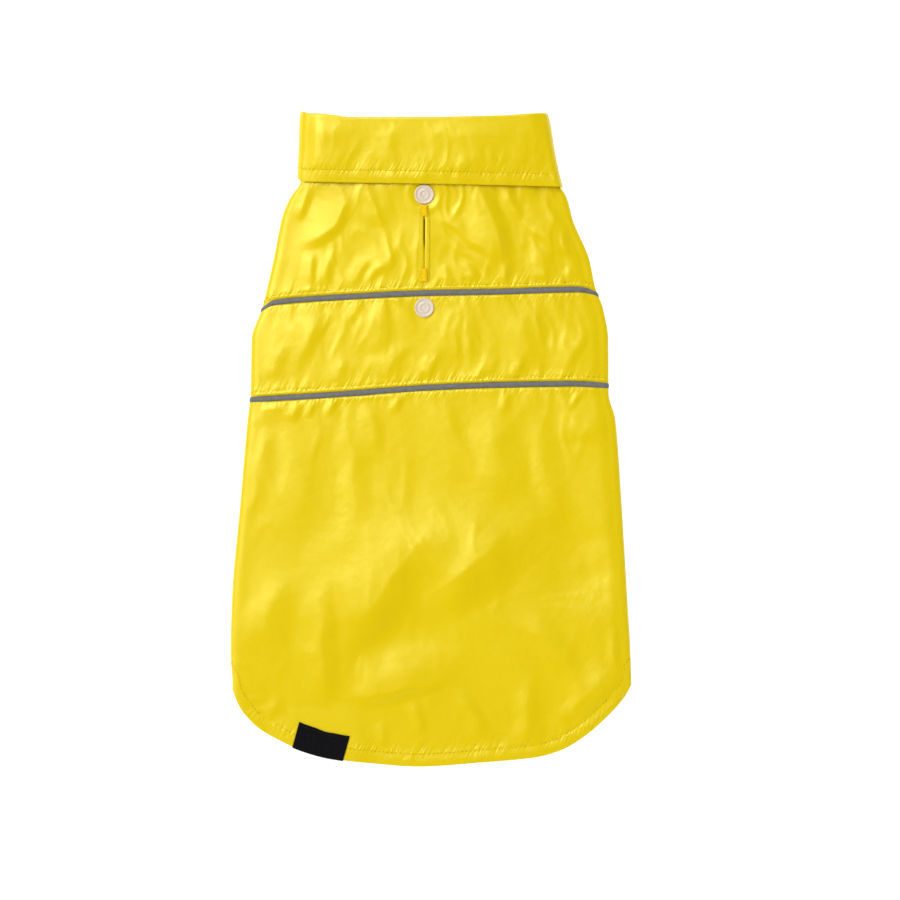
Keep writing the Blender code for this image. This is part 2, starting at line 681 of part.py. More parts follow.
def build_belly_panel(material):
    """The belly panel, flat under the back between the two side seams, with its leg holes."""
    outer = []
    inner = []
    rows = [(y, 0.0) for y in [NECK_SEAM_Y - SEAM_GAP] + NECK_HEIGHTS]
    rows += [(NECK_HEIGHTS[-1], (row + 1) / BELLY_ROWS) for row in range(BELLY_ROWS)]
    for start, down in rows:
        outer_row = []
        inner_row = []
        for step in range(BELLY_STEPS + 1):
            share = step / BELLY_STEPS
            ends = blend(BELLY_HEM_LEFT_Y, BELLY_HEM_RIGHT_Y, share)
            y = blend(start, ends + BELLY_HEM_RISE * math.sin(math.pi * share), down)
            x = blend(left_side_seam(y) + SEAM_GAP, right_side_seam(y) - SEAM_GAP, share)
            outer_row.append(Vector((x, y, under_height(y))))
            inner_row.append(Vector((x, y, under_height(y) + CLOTH)))
        outer.append(outer_row)
        inner.append(inner_row)
    belly = wall("belly_panel", outer, inner, material)
    for way in (-1, 1):
        hole = cutter("leg_hole_left" if way < 0 else "leg_hole_right", way * LEG_HOLE_OUT)
        opening = belly.modifiers.new(hole.name, "BOOLEAN")
        opening.operation = "DIFFERENCE"
        opening.object = hole
    return belly


def collar_profile(column):
    """The collar's section at a column, as (y, radius) points round its cloth.

    It runs down the outside of the fall, round its edge, up inside it, over the small inner
    turn, down the stand, round the neck seam and up the stand's inner face to the crest.
    """
    middle_x = collar_x(column, COLLAR_MIDDLE_Y, FALL_RADIUS)
    crest = (collar_crest_under if column.place == "under" else collar_crest)(middle_x)
    lower = collar_edge(collar_x(column, COLLAR_LOWER_Y, FALL_RADIUS))
    turn = 0.5 * (FALL_RADIUS - STAND_RADIUS + CLOTH)
    turn_y = crest - turn
    inner_turn_y = turn_y + turn - CLOTH
    fall_inner = FALL_RADIUS - CLOTH
    stand_inner = STAND_RADIUS - CLOTH
    fall_rows = (0.0, 0.3, 0.65)
    points = [(blend(turn_y, lower, t), FALL_RADIUS) for t in fall_rows] + [(lower, FALL_RADIUS)]
    points += [(lower, fall_inner)]
    points += [(blend(turn_y, lower, t), fall_inner) for t in reversed(fall_rows)]
    points += [(inner_turn_y, 0.5 * (fall_inner + STAND_RADIUS))]
    points += [(turn_y, STAND_RADIUS), (NECK_SEAM_Y, STAND_RADIUS)]
    points += [(NECK_SEAM_Y, stand_inner), (turn_y, stand_inner)]
    for angle in (135, 90, 45):
        outward = turn * math.cos(math.radians(angle))
        points.append((turn_y + turn * math.sin(math.radians(angle)), FALL_RADIUS - turn + outward))
    return points


def collar_x(column, y, radius):
    """The x of a collar column at y, on the shell of this radius."""
    start = collar_left(y) + FALL_RADIUS
    end = collar_right(y) - FALL_RADIUS
    if column.place in ("top", "under"):
        return blend(start, end, column.at)
    out = radius * math.cos(math.radians(column.at))
    return start - out if column.place == "fold_left" else end + out


def build_collar(material):
    """The collar, a stand and a turned-down fall in one band, all round the flattened neck."""
    top = [Column("top", step / COLLAR_STEPS) for step in range(COLLAR_STEPS + 1)]
    right = [Column("fold_right", angle) for angle in (54, 18, -18, -54)]
    across_under = reversed(range(COLLAR_UNDER_STEPS + 1))
    under = [Column("under", step / COLLAR_UNDER_STEPS) for step in across_under]
    left = [Column("fold_left", angle) for angle in (-54, -18, 18, 54)]
    sections = []
    for column in top + right + under + left:
        section = []
        for y, radius in collar_profile(column):
            x = collar_x(column, y, radius)
            if column.place == "top":
                raised = sum(fold_lift(fold, x, y) for fold in COLLAR_FOLDS)
                z = NECK_MID_Z + radius + (raised if radius > STAND_RADIUS + 0.1 else 0.0)
            elif column.place == "under":
                z = NECK_MID_Z - radius
            else:
                z = NECK_MID_Z + radius * math.sin(math.radians(column.at))
            section.append(Vector((x, y, z)))
        sections.append(section)
    return swept("collar", sections, material, closed=True)


def build_welt(material):
    """The stitched frame of the leash slot, laid on the neck panel round the slit."""
    half_length = 0.5 * WELT_LENGTH
    hole = 0.5 * SLIT_LENGTH + 1.0
    shift = SLIT_MIDDLE_Y - WELT_MIDDLE_Y
    steps = [-0.5 * WELT_WIDTH, -0.7 * SLIT_WIDTH, 0.7 * SLIT_WIDTH, 0.5 * WELT_WIDTH]
    rows = [half_length, hole + shift]
    rows += [blend(hole, -hole, step / 5) + shift for step in (1, 2, 3, 4, 5)]
    rows += [-half_length]
    outer = []
    inner = []
    for row in rows:
        y = WELT_MIDDLE_Y + row
        points = [(CENTRE_X + step, y) for step in steps]
        outer.append([Vector((x, y, back_height(x, y) + SEAM_GAP + WELT_CLOTH)) for x, y in points])
        inner.append([Vector((x, y, back_height(x, y) + SEAM_GAP)) for x, y in points])
    cut = [(row, 1) for row in range(1, len(rows) - 2)]
    return wall("leash_slot_welt", outer, inner, material, cut)


def build_snap(name, y, material):
    """A snap's cap on the centre line, leaning with the cloth under it."""
    reach = SNAP_RADIUS
    slope_x = back_height(CENTRE_X + reach, y) - back_height(CENTRE_X - reach, y)
    slope_y = back_height(CENTRE_X, y + reach) - back_height(CENTRE_X, y - reach)
    normal = Vector((-slope_x, -slope_y, 2 * reach)).normalized()
    lean = Vector((0, 0, 1)).rotation_difference(normal).to_matrix().to_4x4()
    around = [2 * math.pi * side / SNAP_SIDES for side in range(SNAP_SIDES)]
    clear = 0.0
    for radius in (0.0, 0.5 * reach, reach):
        for angle in around:
            spot = Vector((radius * math.cos(angle), radius * math.sin(angle), 0))
            spot = lean @ spot + Vector((CENTRE_X, y, 0))
            clear = max(clear, back_height(spot.x, spot.y) - spot.z)
    seat = Matrix.Translation((CENTRE_X, y, clear + SEAM_GAP)) @ lean
    built = bmesh.new()
    rings = []
    for point in SNAP_PROFILE:
        ring = []
        for angle in around:
            x, ring_y = point.radius * math.cos(angle), point.radius * math.sin(angle)
            ring.append(built.verts.new(seat @ Vector((x, ring_y, point.height))))
        rings.append(ring)
    for ring, following in zip(rings, rings[1:]):
        for k in range(SNAP_SIDES):
            after = (k + 1) % SNAP_SIDES
            built.faces.new((ring[k], following[k], following[after], ring[after]))
    built.faces.new(rings[0])
    built.faces.new(list(reversed(rings[-1])))
    return add_object(name, built, material)


def build_label(material):
    """The bare label, a band folded in half round the hem."""
    inward = Vector((-math.sin(LABEL_ANGLE), math.cos(LABEL_ANGLE)))
    run = LABEL_LENGTH * math.cos(LABEL_ANGLE)
    out = SEAM_GAP + LABEL_CLOTH
    # Each row of the band: its distance in from the hem's edge, and its height over the
    # hem's outer face, for the band's outer side and its inner one.
    rows = [(depth, out, depth, SEAM_GAP) for depth in LABEL_DEPTHS]
    rows += [(-0.7 * out, 0.6 * out, -0.5 * SEAM_GAP, SEAM_GAP)]
    rows += [(-out, -0.5 * CLOTH, -SEAM_GAP, -0.5 * CLOTH)]
    rows += [(-0.7 * out, -CLOTH - 0.6 * out, -0.5 * SEAM_GAP, -CLOTH - SEAM_GAP)]
    rows += [(depth, -CLOTH - out, depth, -CLOTH - SEAM_GAP) for depth in reversed(LABEL_DEPTHS)]
    outer = []
    inner = []
    for outer_in, outer_up, inner_in, inner_up in rows:
        outer_row = []
        inner_row = []
        for step in range(LABEL_STEPS + 1):
            x = LABEL_LEFT_X + run * step / LABEL_STEPS
            edge = Vector((x, hem.back(x)))
            for row, distance, up in ((outer_row, outer_in, outer_up), (inner_row, inner_in, inner_up)):
                spot = edge + inward * distance
                on_cloth = edge + inward * max(distance, 0.0)
                height = back_height(on_cloth.x, on_cloth.y)
                row.append(Vector((spot.x, spot.y, max(height + up, 0.0))))
        outer.append(outer_row)
        inner.append(inner_row)
    return wall("hem_label", outer, inner, material)


def main():
    for old in list(bpy.data.objects):
        bpy.data.objects.remove(old, do_unlink=True)
    cloth = {
        name: principled(name, YELLOW, 0.42)
        for name in ("collar_cloth", "neck_cloth", "middle_cloth", "back_cloth", "belly_cloth", "welt")
    }
    build_collar(cloth["collar_cloth"])
    build_neck_panel(cloth["neck_cloth"])
    build_piping("upper_piping", upper_seam, principled("upper_piping", REFLECTIVE_GREY, 0.5))
    build_middle_panel(cloth["middle_cloth"])
    build_piping("lower_piping", lower_seam, principled("lower_piping", REFLECTIVE_GREY, 0.5))
    build_back_panel(cloth["back_cloth"])
    build_belly_panel(cloth["belly_cloth"])
    build_welt(cloth["welt"])
    build_snap("upper_snap", UPPER_SNAP_Y, principled("upper_snap", SNAP_WHITE, 0.35))
    build_snap("lower_snap", LOWER_SNAP_Y, principled("lower_snap", SNAP_WHITE, 0.35))
    build_label(principled("label", LABEL_BLACK, 0.8))


main()
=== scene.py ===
"""A dog raincoat laid flat with its back up: every sewn piece of it, and its finish."""

import math
from collections import namedtuple

import bmesh
import bpy
import numpy as np
from mathutils import Matrix, Vector, noise


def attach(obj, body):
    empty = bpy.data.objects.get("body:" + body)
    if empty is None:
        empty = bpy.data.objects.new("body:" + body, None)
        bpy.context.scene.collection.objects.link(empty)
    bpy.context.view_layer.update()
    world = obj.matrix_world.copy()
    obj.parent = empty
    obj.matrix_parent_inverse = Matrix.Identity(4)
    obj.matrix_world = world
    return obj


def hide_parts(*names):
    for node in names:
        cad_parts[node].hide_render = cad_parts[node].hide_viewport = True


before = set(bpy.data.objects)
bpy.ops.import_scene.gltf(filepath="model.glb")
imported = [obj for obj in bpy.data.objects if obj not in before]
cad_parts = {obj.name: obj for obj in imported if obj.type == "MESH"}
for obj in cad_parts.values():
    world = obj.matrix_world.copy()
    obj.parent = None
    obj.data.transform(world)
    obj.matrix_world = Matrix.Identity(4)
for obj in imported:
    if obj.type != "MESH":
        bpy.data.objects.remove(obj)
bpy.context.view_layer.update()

bpy.ops.object.select_all(action="DESELECT")

# ------------------------------------------------------------------------------------------------
# Neck panel: the top of the back, from the collar's stand down to the upper piping. One piece of
# yellow polyester taffeta with a thin polyurethane coat, slit on its middle line for a leash. It
# turns under at both side folds and runs on to the side seams. Sizes are in millimetres.
# ------------------------------------------------------------------------------------------------

MM = 0.001
CLOTH = 0.45  # one layer of the coated cloth
CENTRE_X = -4.0
NECK_SEAM_Y = 165.0
PIPING_HALF = 1.8  # half the width of both pipings
PIPING_LAP = 1.2  # from a piping's middle to the edges of the panels tucked in under it
SLIT_MIDDLE_Y = 118.0
SLIT_HALF = 15.0

# The flattened coat from neck to hem: the x of its side folds, the radius of those folds, the
# height of the back near them and along its middle, and the height of the underside.
Lie = namedtuple("Lie", "y left right fold edge crown under")
LIES = [
    Lie(165.0, -77.7, 73.6, 3.1, 7.8, 7.8, 1.6),
    Lie(154.0, -78.1, 76.0, 3.1, 7.8, 7.8, 1.6),
    Lie(151.0, -79.4, 77.2, 3.2, 7.6, 7.7, 1.6),
    Lie(148.0, -82.0, 79.6, 3.6, 7.1, 7.4, 1.1),
    Lie(144.0, -84.5, 81.6, 4.0, 6.6, 7.0, 0.4),
    Lie(140.0, -86.6, 82.8, 4.3, 6.2, 6.7, 0.0),
    Lie(132.0, -89.4, 84.8, 4.6, 5.8, 6.3, 0.0),
    Lie(108.0, -94.2, 94.8, 5.0, 5.3, 5.7, 0.0),
    Lie(92.0, -97.8, 98.2, 5.0, 5.2, 5.5, 0.0),
    Lie(78.0, -101.4, 103.2, 5.0, 5.2, 5.5, 0.0),
    Lie(60.0, -107.4, 106.2, 5.0, 5.2, 5.5, 0.0),
    Lie(28.0, -108.0, 106.4, 5.0, 5.2, 5.6, 0.0),
    Lie(12.0, -109.8, 110.4, 5.0, 5.2, 5.5, 0.0),
    Lie(-36.0, -114.0, 114.0, 5.0, 5.1, 5.3, 0.0),
    Lie(-96.0, -119.2, 117.6, 5.0, 5.0, 5.0, 0.0),
    Lie(-126.0, -120.0, 119.4, 4.6, 4.6, 4.2, 0.0),
    Lie(-148.0, -118.9, 120.0, 4.0, 4.0, 3.0, 0.0),
    Lie(-172.0, -118.8, 120.0, 4.0, 2.2, 1.7, 0.0),
    Lie(-188.0, -118.8, 120.0, 4.0, 1.3, 1.2, 0.0),
]
SideSeam = namedtuple("SideSeam", "y left right")
SIDE_SEAMS = [
    SideSeam(165.0, -52.0, 48.0),
    SideSeam(110.0, -68.0, 68.0),
    SideSeam(30.0, -82.5, 81.0),
    SideSeam(-60.0, -90.0, 89.5),
    SideSeam(-124.0, -94.0, 93.5),
]
Spot = namedtuple("Spot", "x y")
UPPER_SEAM = [
    Spot(-101.0, 77.7),
    Spot(-96.6, 81.3),
    Spot(-88.0, 82.7),
    Spot(-50.0, 85.3),
    Spot(-4.0, 87.5),
    Spot(42.0, 88.5),
    Spot(88.0, 89.9),
    Spot(95.4, 89.0),
    Spot(100.5, 86.6),
]
# How a seam goes on under the coat: its rise at a distance in from the side fold.
SIDE_TURN = 26.0
Turn = namedtuple("Turn", "inset rise")
LEVEL_TURN = [Turn(0.0, 0.0), Turn(SIDE_TURN, 0.0)]
PIPING_TURN = [Turn(0.0, 0.0), Turn(SIDE_TURN, -5.0)]

# A fold in the cloth. Its crest runs from (x, y) by (by_x, by_y) to (to_x, to_y), up the coat or
# rightwards, with slopes this wide to the left and to the right of that run. A height above 0 is
# a ridge and below 0 a trough. Its crest is round at 0 and pointed at 1.
Fold = namedtuple("Fold", "x y by_x by_y to_x to_y left right height crest")
NECK_FOLDS = [
    # Drawn in under the collar's left corner.
    Fold(-82.0, 130.0, -76.0, 141.0, -68.0, 157.0, 8.8, 4.5, 1.42, 0.6),
    Fold(-84.0, 118.0, -58.0, 128.0, -45.0, 158.0, 28.0, 7.0, 1.8, 0.6),
    Fold(-33.0, 126.0, -33.0, 140.0, -35.0, 158.0, 16.5, 14.0, 1.04, 0.2),
    # The loose middle of the left half.
    Fold(-31.0, 97.0, -26.0, 106.0, -17.0, 119.0, 16.0, 5.0, 0.7, 0.6),
    Fold(-46.0, 91.0, -41.0, 100.0, -33.0, 111.0, 9.0, 4.0, 0.75, 0.6),
    Fold(-38.0, 92.0, -33.0, 100.0, -26.0, 108.0, 4.4, 3.5, 0.66, 0.6),
    Fold(-69.0, 92.0, -70.0, 102.0, -68.0, 114.0, 7.7, 4.0, 0.95, 0.5),
    Fold(-62.0, 92.0, -61.0, 102.0, -60.0, 116.0, 6.6, 5.0, 0.95, 0.5),
    # Fanning out from the slot's right side.
    Fold(1.0, 134.0, 22.0, 121.5, 45.0, 99.0, 16.5, 5.0, 1.61, 0.7),
    Fold(3.0, 123.0, 22.0, 111.0, 38.0, 95.0, 8.8, 4.5, 0.76, 0.5),
    # Drawn in under the collar's right half.
    Fold(44.0, 98.0, 38.5, 126.0, 25.0, 158.0, 16.5, 9.0, 2.28, 0.6),
    Fold(54.0, 128.0, 50.0, 140.0, 43.0, 158.0, 8.8, 5.0, 1.23, 0.6),
    Fold(50.0, 137.0, 68.0, 121.5, 98.0, 107.0, 20.0, 6.0, 1.5, 0.5),
    Fold(74.0, 129.0, 71.0, 137.0, 65.0, 148.0, 4.4, 5.0, 0.66, 0.5),
    # Rooted at the upper piping.
    Fold(43.0, 92.0, 45.0, 100.0, 49.0, 110.0, 6.6, 5.0, 1.23, 0.6),
    Fold(67.0, 92.0, 64.5, 103.0, 60.0, 118.0, 12.1, 9.0, 0.8, 0.4),
    Fold(10.0, 92.0, 8.0, 99.0, 7.0, 107.0, 5.5, 4.0, 0.47, 0.4),
    Fold(25.0, 93.0, 22.0, 101.0, 17.0, 111.0, 6.6, 5.0, 0.57, 0.3),
    Fold(86.0, 93.0, 84.0, 98.0, 80.0, 105.0, 6.6, 5.0, 0.57, 0.3),
]
UPPER_SNAP_Y = 146.3
SNAP_HOLLOW = 9.5  # radius of the hollow that a snap draws into the cloth
TOPSTITCH_AWAY = 4.4  # from a piping's middle to the row of stitches above it


def blend(start, end, t):
    return start + (end - start) * t


def ease(t):
    """0 up to t = 0, 1 from t = 1, and smooth between."""
    t = np.clip(t, 0.0, 1.0)
    return t * t * (3 - 2 * t)


def curve(table, along, value):
    """A smooth curve through two columns of a table, which never swings past their values."""
    rows = sorted(table, key=lambda row: getattr(row, along))
    at = np.array([getattr(row, along) for row in rows])
    to = np.array([getattr(row, value) for row in rows])
    step = np.diff(at)
    rise = np.diff(to) / step
    slope = np.concatenate((rise[:1], np.zeros(len(at) - 2), rise[-1:]))
    for k in range(1, len(at) - 1):
        if rise[k - 1] * rise[k] > 0:
            slope[k] = 2 * rise[k - 1] * rise[k] / (rise[k - 1] + rise[k])

    def value_at(x):
        x = np.clip(x, at[0], at[-1])
        i = np.clip(np.searchsorted(at, x, side="right") - 1, 0, len(step) - 1)
        t = (x - at[i]) / step[i]
        start = (1 + 2 * t) * (1 - t) ** 2 * to[i] + t * (1 - t) ** 2 * step[i] * slope[i]
        end = t * t * (3 - 2 * t) * to[i + 1] + t * t * (t - 1) * step[i] * slope[i + 1]
        return start + end

    return value_at


left_fold = curve(LIES, "y", "left")
right_fold = curve(LIES, "y", "right")
fold_radius = curve(LIES, "y", "fold")
edge_height = curve(LIES, "y", "edge")
crown_height = curve(LIES, "y", "crown")
under_height = curve(LIES, "y", "under")
left_side_seam = curve(SIDE_SEAMS, "y", "left")
right_side_seam = curve(SIDE_SEAMS, "y", "right")

Seam = namedtuple("Seam", "line turn")
neck_seam = Seam(lambda x: NECK_SEAM_Y + 0 * x, curve(LEVEL_TURN, "inset", "rise"))
upper_seam = Seam(curve(UPPER_SEAM, "x", "y"), curve(PIPING_TURN, "inset", "rise"))


def side_of(c, y):
    """For columns c at y: which side they are on, their c on the left, that side's fold and seam."""
    way = np.where(c < 2.5, -1.0, 1.0)
    fold = np.where(way < 0, left_fold(y), right_fold(y))
    side_seam = np.where(way < 0, left_side_seam(y), right_side_seam(y))
    return way, np.minimum(c, 5.0 - c), fold, side_seam


def across_top(centre, c):
    """The x of columns between a fold's centre, where c is 2, and the coat's middle line."""
    return blend(centre, CENTRE_X, np.clip(2 * (c - 2.0), 0.0, 1.0))


def crumple(x, y, size, seed):
    """A soft uneven lie of the cloth, between about -1 and 1, with hollows this far apart."""
    spots = zip((x / size).ravel().tolist(), (y / size).ravel().tolist())
    lift = np.array([noise.noise(Vector((a, b, seed))) for a, b in spots])
    return lift.reshape(x.shape)


def crinkle(x, y, across, down, seed):
    """Crisp pointed ridges this far apart across the coat, and this long down it, from 0 to 1."""
    sway = 0.35 * crumple(x, y, 1.6 * across, seed + 0.3)
    ridge = 1.0 - np.minimum(2.2 * np.abs(crumple(x / across + sway, y / down, 1.0, seed)), 1.0)
    return ridge * ease(0.5 + 1.2 * crumple(x, y, 2.5 * across, seed + 0.7))


def folded(folds, x, y):
    """How much a table of folds raises the cloth at each point."""
    lift = np.zeros_like(x)
    # The folds wander a little, so no edge of theirs runs quite even.
    x, y = x + 2.6 * crumple(x, y, 15.0, 71.5), y + 2.6 * crumple(x, y, 15.0, 72.5)
    runs = 8
    t = np.linspace(0.0, 1.0, runs + 1)
    for fold in folds:
        bend_x = 2 * fold.by_x - 0.5 * (fold.x + fold.to_x)
        bend_y = 2 * fold.by_y - 0.5 * (fold.y + fold.to_y)
        crest_x = (1 - t) ** 2 * fold.x + 2 * t * (1 - t) * bend_x + t * t * fold.to_x
        crest_y = (1 - t) ** 2 * fold.y + 2 * t * (1 - t) * bend_y + t * t * fold.to_y
        reach = max(fold.left, fold.right)
        near = (x > crest_x.min() - reach) & (x < crest_x.max() + reach)
        near &= (y > crest_y.min() - reach) & (y < crest_y.max() + reach)
        near_x, near_y = x[near], y[near]
        closest = np.full(near_x.shape, np.inf)
        along = np.zeros_like(near_x)
        side = np.zeros_like(near_x)
        for k in range(runs):
            run_x, run_y = crest_x[k + 1] - crest_x[k], crest_y[k + 1] - crest_y[k]
            from_x, from_y = near_x - crest_x[k], near_y - crest_y[k]
            share = np.clip((from_x * run_x + from_y * run_y) / (run_x**2 + run_y**2), 0.0, 1.0)
            off_x, off_y = from_x - share * run_x, from_y - share * run_y
            off = np.hypot(off_x, off_y)
            closer = off < closest
            closest = np.where(closer, off, closest)
            along = np.where(closer, (k + share) / runs, along)
            side = np.where(closer, run_x * off_y - run_y * off_x, side)
        off = np.clip(closest / np.where(side > 0, fold.left, fold.right), 0.0, 1.0)
        slope = blend(np.cos(0.5 * np.pi * off) ** 2, (1 - off) ** 1.3, fold.crest)
        lift[near] += fold.height * ease(along / 0.4) * ease((1 - along) / 0.4) * slope
    return lift


def puckers(along, away, pitch, reach, height, seed):
    """The small uneven tucks that a row of stitches draws up, which fade out away from it."""
    draw = np.random.default_rng(seed)
    lift = np.zeros_like(along)
    spot = along.min()
    while spot < along.max():
        width = pitch * draw.uniform(0.3, 0.7)
        length = reach * draw.uniform(0.4, 1.1)
        lean = draw.uniform(-0.1, 0.7)
        size = height * draw.uniform(0.2, 1.0)
        off = np.abs(along - spot - lean * away) / (width * (1 + 0.4 * away / length))
        lift += size * np.exp(-(off**1.5) - away / length)
        spot += pitch * draw.uniform(0.5, 1.6)
    return lift - 0.35 * height * np.exp(-((away / reach) ** 2))


def bowed(x, left, right, rise):
    """The bow of the upper coat across its width: a short rise and a long fall to the right."""
    fall = np.clip(((x - left) / (right - left) - 0.35) / 0.65, 0.0, 1.0) ** 2
    return 0.7 * ease((x - left) / rise) - 1.65 * fall


def lie(x, y):
    """The height of the back's outer face where no fold raises it."""
    inset = np.minimum(x - left_fold(y), right_fold(y) - x)
    swell = 2.6 * bowed(x, left_fold(y), right_fold(y), 70.0) * ease((y + 30.0) / 140.0)
    # The right fold is pressed flatter than the left one.
    swell -= 1.2 * ease(1.0 - (right_fold(y) - x) / 11.0) * ease((140.0 - y) / 20.0)
    return blend(edge_height(y), crown_height(y), ease(inset / 30.0)) + swell


def raised(x, y, relief):
    """The height of the back's outer face with a panel's relief on it."""
    inset = np.minimum(x - left_fold(y), right_fold(y) - x)
    height = lie(x, y) + relief * blend(0.3, 1.0, ease(inset / 14.0))
    # It never sinks into the layer under it.
    return np.maximum(height, 2.5 * CLOTH)


def tucked(away):
    """The lip of a panel where it dives in under a piping, at this distance from its middle."""
    return -0.8 * ease((2.6 - away) / 1.4)


def topstitched(x, away, seeds):
    """The band that is pressed and stitched down above a piping, and the tucks it draws up."""
    band = 0.2 * np.exp(-(((away - 3.1) / 0.8) ** 2))
    band -= 0.22 * np.exp(-(((away - TOPSTITCH_AWAY) / 0.6) ** 2))
    past = np.maximum(away - TOPSTITCH_AWAY, 0.0)
    band += puckers(x, past, 5.0, 9.0, 0.8, seeds[0]) * ease((away - 3.6) / 1.5)
    return band + puckers(x, np.abs(away - 4.0), 2.6, 3.2, 0.25, seeds[1]) * ease((away - 1.5) / 1.5)


def neck_height(x, y):
    """The height of the neck panel's outer face."""
    away = y - upper_seam.line(x)
    loose = ease((away - 3.0) / 7.0) * ease((160.0 - y) / 8.0)
    relief = folded(NECK_FOLDS, x, y) * loose + topstitched(x, away, (11, 13))
    # The collar's seam draws it up too.
    relief += puckers(x, np.maximum(152.0 - y, 0.0), 8.0, 11.0, 0.8, 12) * ease((158.0 - y) / 4.0)
    relief += (0.5 * crumple(x, 0.6 * y, 19.0, 1.5) + 0.6 * crinkle(x, y, 9.0, 24.0, 1.9)) * loose
    # The cloth is pinched along the middle line, above the slot and below it.
    off_slot = np.abs(y - SLIT_MIDDLE_Y) - SLIT_HALF
    relief -= 0.4 * np.exp(-(((x - CENTRE_X) / 0.9) ** 2)) * ease(off_slot / 4.0)
    # A hollow holds the upper snap.
    from_snap = np.hypot(x - CENTRE_X, y - UPPER_SNAP_Y)
    relief = blend(relief, -0.2, ease((SNAP_HOLLOW - from_snap) / 3.5))
    relief += 0.35 * np.exp(-(((from_snap - SNAP_HOLLOW) / 2.0) ** 2))
    return raised(x, y, relief + tucked(away))


def round_the_coat(c, y, height, depth=0.0):
    """Points of the coat's outer face, sunk this deep into the cloth.

    c is 0 at the left side seam, 1 where the left fold starts on the underside, 2 where it ends on
    top, 3 where the right fold starts there, 4 where it ends below, and 5 at the right side seam.
    """
    way, c, fold, side_seam = side_of(c, y)
    radius = fold_radius(y)
    centre = fold - way * radius
    top_x = across_top(centre, c)
    top = height(top_x, y)
    under = under_height(y)
    half = 0.5 * (top - under)
    angle = np.pi * (np.clip(c, 1.0, 2.0) - 1.5)
    x = np.where(c < 1.0, blend(side_seam, centre, c), top_x)
    z = np.where(c < 1.0, under + depth, top - depth)
    turning = (c >= 1.0) & (c < 2.0)
    x = np.where(turning, centre + way * (radius - depth) * np.cos(angle), x)
    z = np.where(turning, under + half + (half - depth) * np.sin(angle), z)
    # The cloth dips into the side seam at its very edge.
    z += 0.5 * np.exp(-((c * SIDE_TURN / 0.8) ** 2))
    return np.stack((x, y, z), axis=-1)


def crossing(seam, c):
    """The y at which a seam crosses each column c, found by a few rounds of substitution."""
    y = seam.line(CENTRE_X) + 0.0 * c
    for _ in range(8):
        way, near, fold, side_seam = side_of(c, y)
        x = np.where(near >= 2.0, across_top(fold - way * fold_radius(y), near), fold)
        y = seam.line(x)
    radius = fold_radius(y)
    side_seam = side_of(c, y)[3]
    round_fold = radius * (1 - np.cos(np.pi * (np.clip(near, 1.0, 2.0) - 1.5)))
    below = np.abs(fold - blend(side_seam, fold - way * radius, near))
    inset = np.where(near < 1.0, below, round_fold)
    turned = np.where(near > 1.5, seam.line(fold - way * inset), y + seam.turn(inset))
    return np.where(near >= 2.0, y, turned)


def columns(on_top):
    """The columns of a panel from side seam to side seam, this many of them on top."""
    left = [np.linspace(0.0, 1.0, 16, endpoint=False), np.linspace(1.0, 2.0, 10, endpoint=False)]
    right = [5.0 - part[::-1] for part in reversed(left)]
    return np.concatenate(left + [np.linspace(2.0, 3.0, on_top)] + right)


def laid_grid(name, points):
    """A sheet from its points, as rows from the neck end down, each from left to right.

    Its UV map is the flat cloth in metres, so that a weave runs on over folds and turns, and its
    attribute "edges" holds how far each point is from the first row and from the last, in mm.
    """
    down, across = points.shape[0] - 1, points.shape[1] - 1
    bpy.ops.mesh.primitive_grid_add(x_subdivisions=across, y_subdivisions=down, size=1)
    sheet = bpy.context.object
    sheet.name = sheet.data.name = name
    flat = np.empty(3 * len(sheet.data.vertices))
    sheet.data.vertices.foreach_get("co", flat)
    flat = flat.reshape(-1, 3)
    step_across = np.rint((flat[:, 0] + 0.5) * across).astype(int)
    step_down = np.rint((0.5 - flat[:, 1]) * down).astype(int)
    sheet.data.vertices.foreach_set("co", (points[step_down, step_across] * MM).ravel())
    run = np.linalg.norm(np.diff(points, axis=1), axis=2).cumsum(axis=1)
    run = np.concatenate((np.zeros((down + 1, 1)), run), axis=1)
    run -= run[:, across // 2 : across // 2 + 1]
    drop = np.linalg.norm(np.diff(points[:, across // 2], axis=0), axis=1).cumsum()
    drop = np.concatenate(([0.0], drop))
    corners = np.empty(len(sheet.data.loops), dtype=int)
    sheet.data.loops.foreach_get("vertex_index", corners)
    uv = np.stack((run[step_down, step_across], -drop[step_down]), axis=1)[corners] * MM
    sheet.data.uv_layers.active.data.foreach_set("uv", uv.ravel())
    fallen = np.linalg.norm(np.diff(points, axis=0), axis=2).cumsum(axis=0)
    fallen = np.concatenate((np.zeros((1, across + 1)), fallen))
    edges = np.stack((fallen, fallen[-1] - fallen, 0.0 * fallen), axis=-1)[step_down, step_across]
    kept = sheet.data.attributes.new("edges", "FLOAT_VECTOR", "POINT")
    kept.data.foreach_set("vector", edges.ravel())
    sheet.data.update()
    return sheet


def cut_of(points):
    """The width, length and area of the flat cloth that a grid of points is laid from, in metres."""
    across = np.diff(points, axis=1)
    down = np.diff(points, axis=0)
    width = np.linalg.norm(across, axis=2).sum(axis=1).max()
    length = np.linalg.norm(down, axis=2).sum(axis=0).max()
    cells = np.cross(0.5 * (across[1:] + across[:-1]), 0.5 * (down[:, 1:] + down[:, :-1]))
    area = min(np.linalg.norm(cells, axis=2).sum(), width * length)
    return (width * MM, length * MM), area * MM**2


def thicken(sheet, thickness=CLOTH):
    """Gives a sheet its wall, behind the face that shows."""
    wall = sheet.modifiers.new("wall", "SOLIDIFY")
    wall.thickness = thickness * MM
    wall.offset = -1.0
    bpy.context.view_layer.objects.active = sheet
    bpy.ops.object.modifier_apply(modifier=wall.name)
    sheet.data.shade_smooth()
    sheet.data.set_sharp_from_angle(angle=math.radians(60))


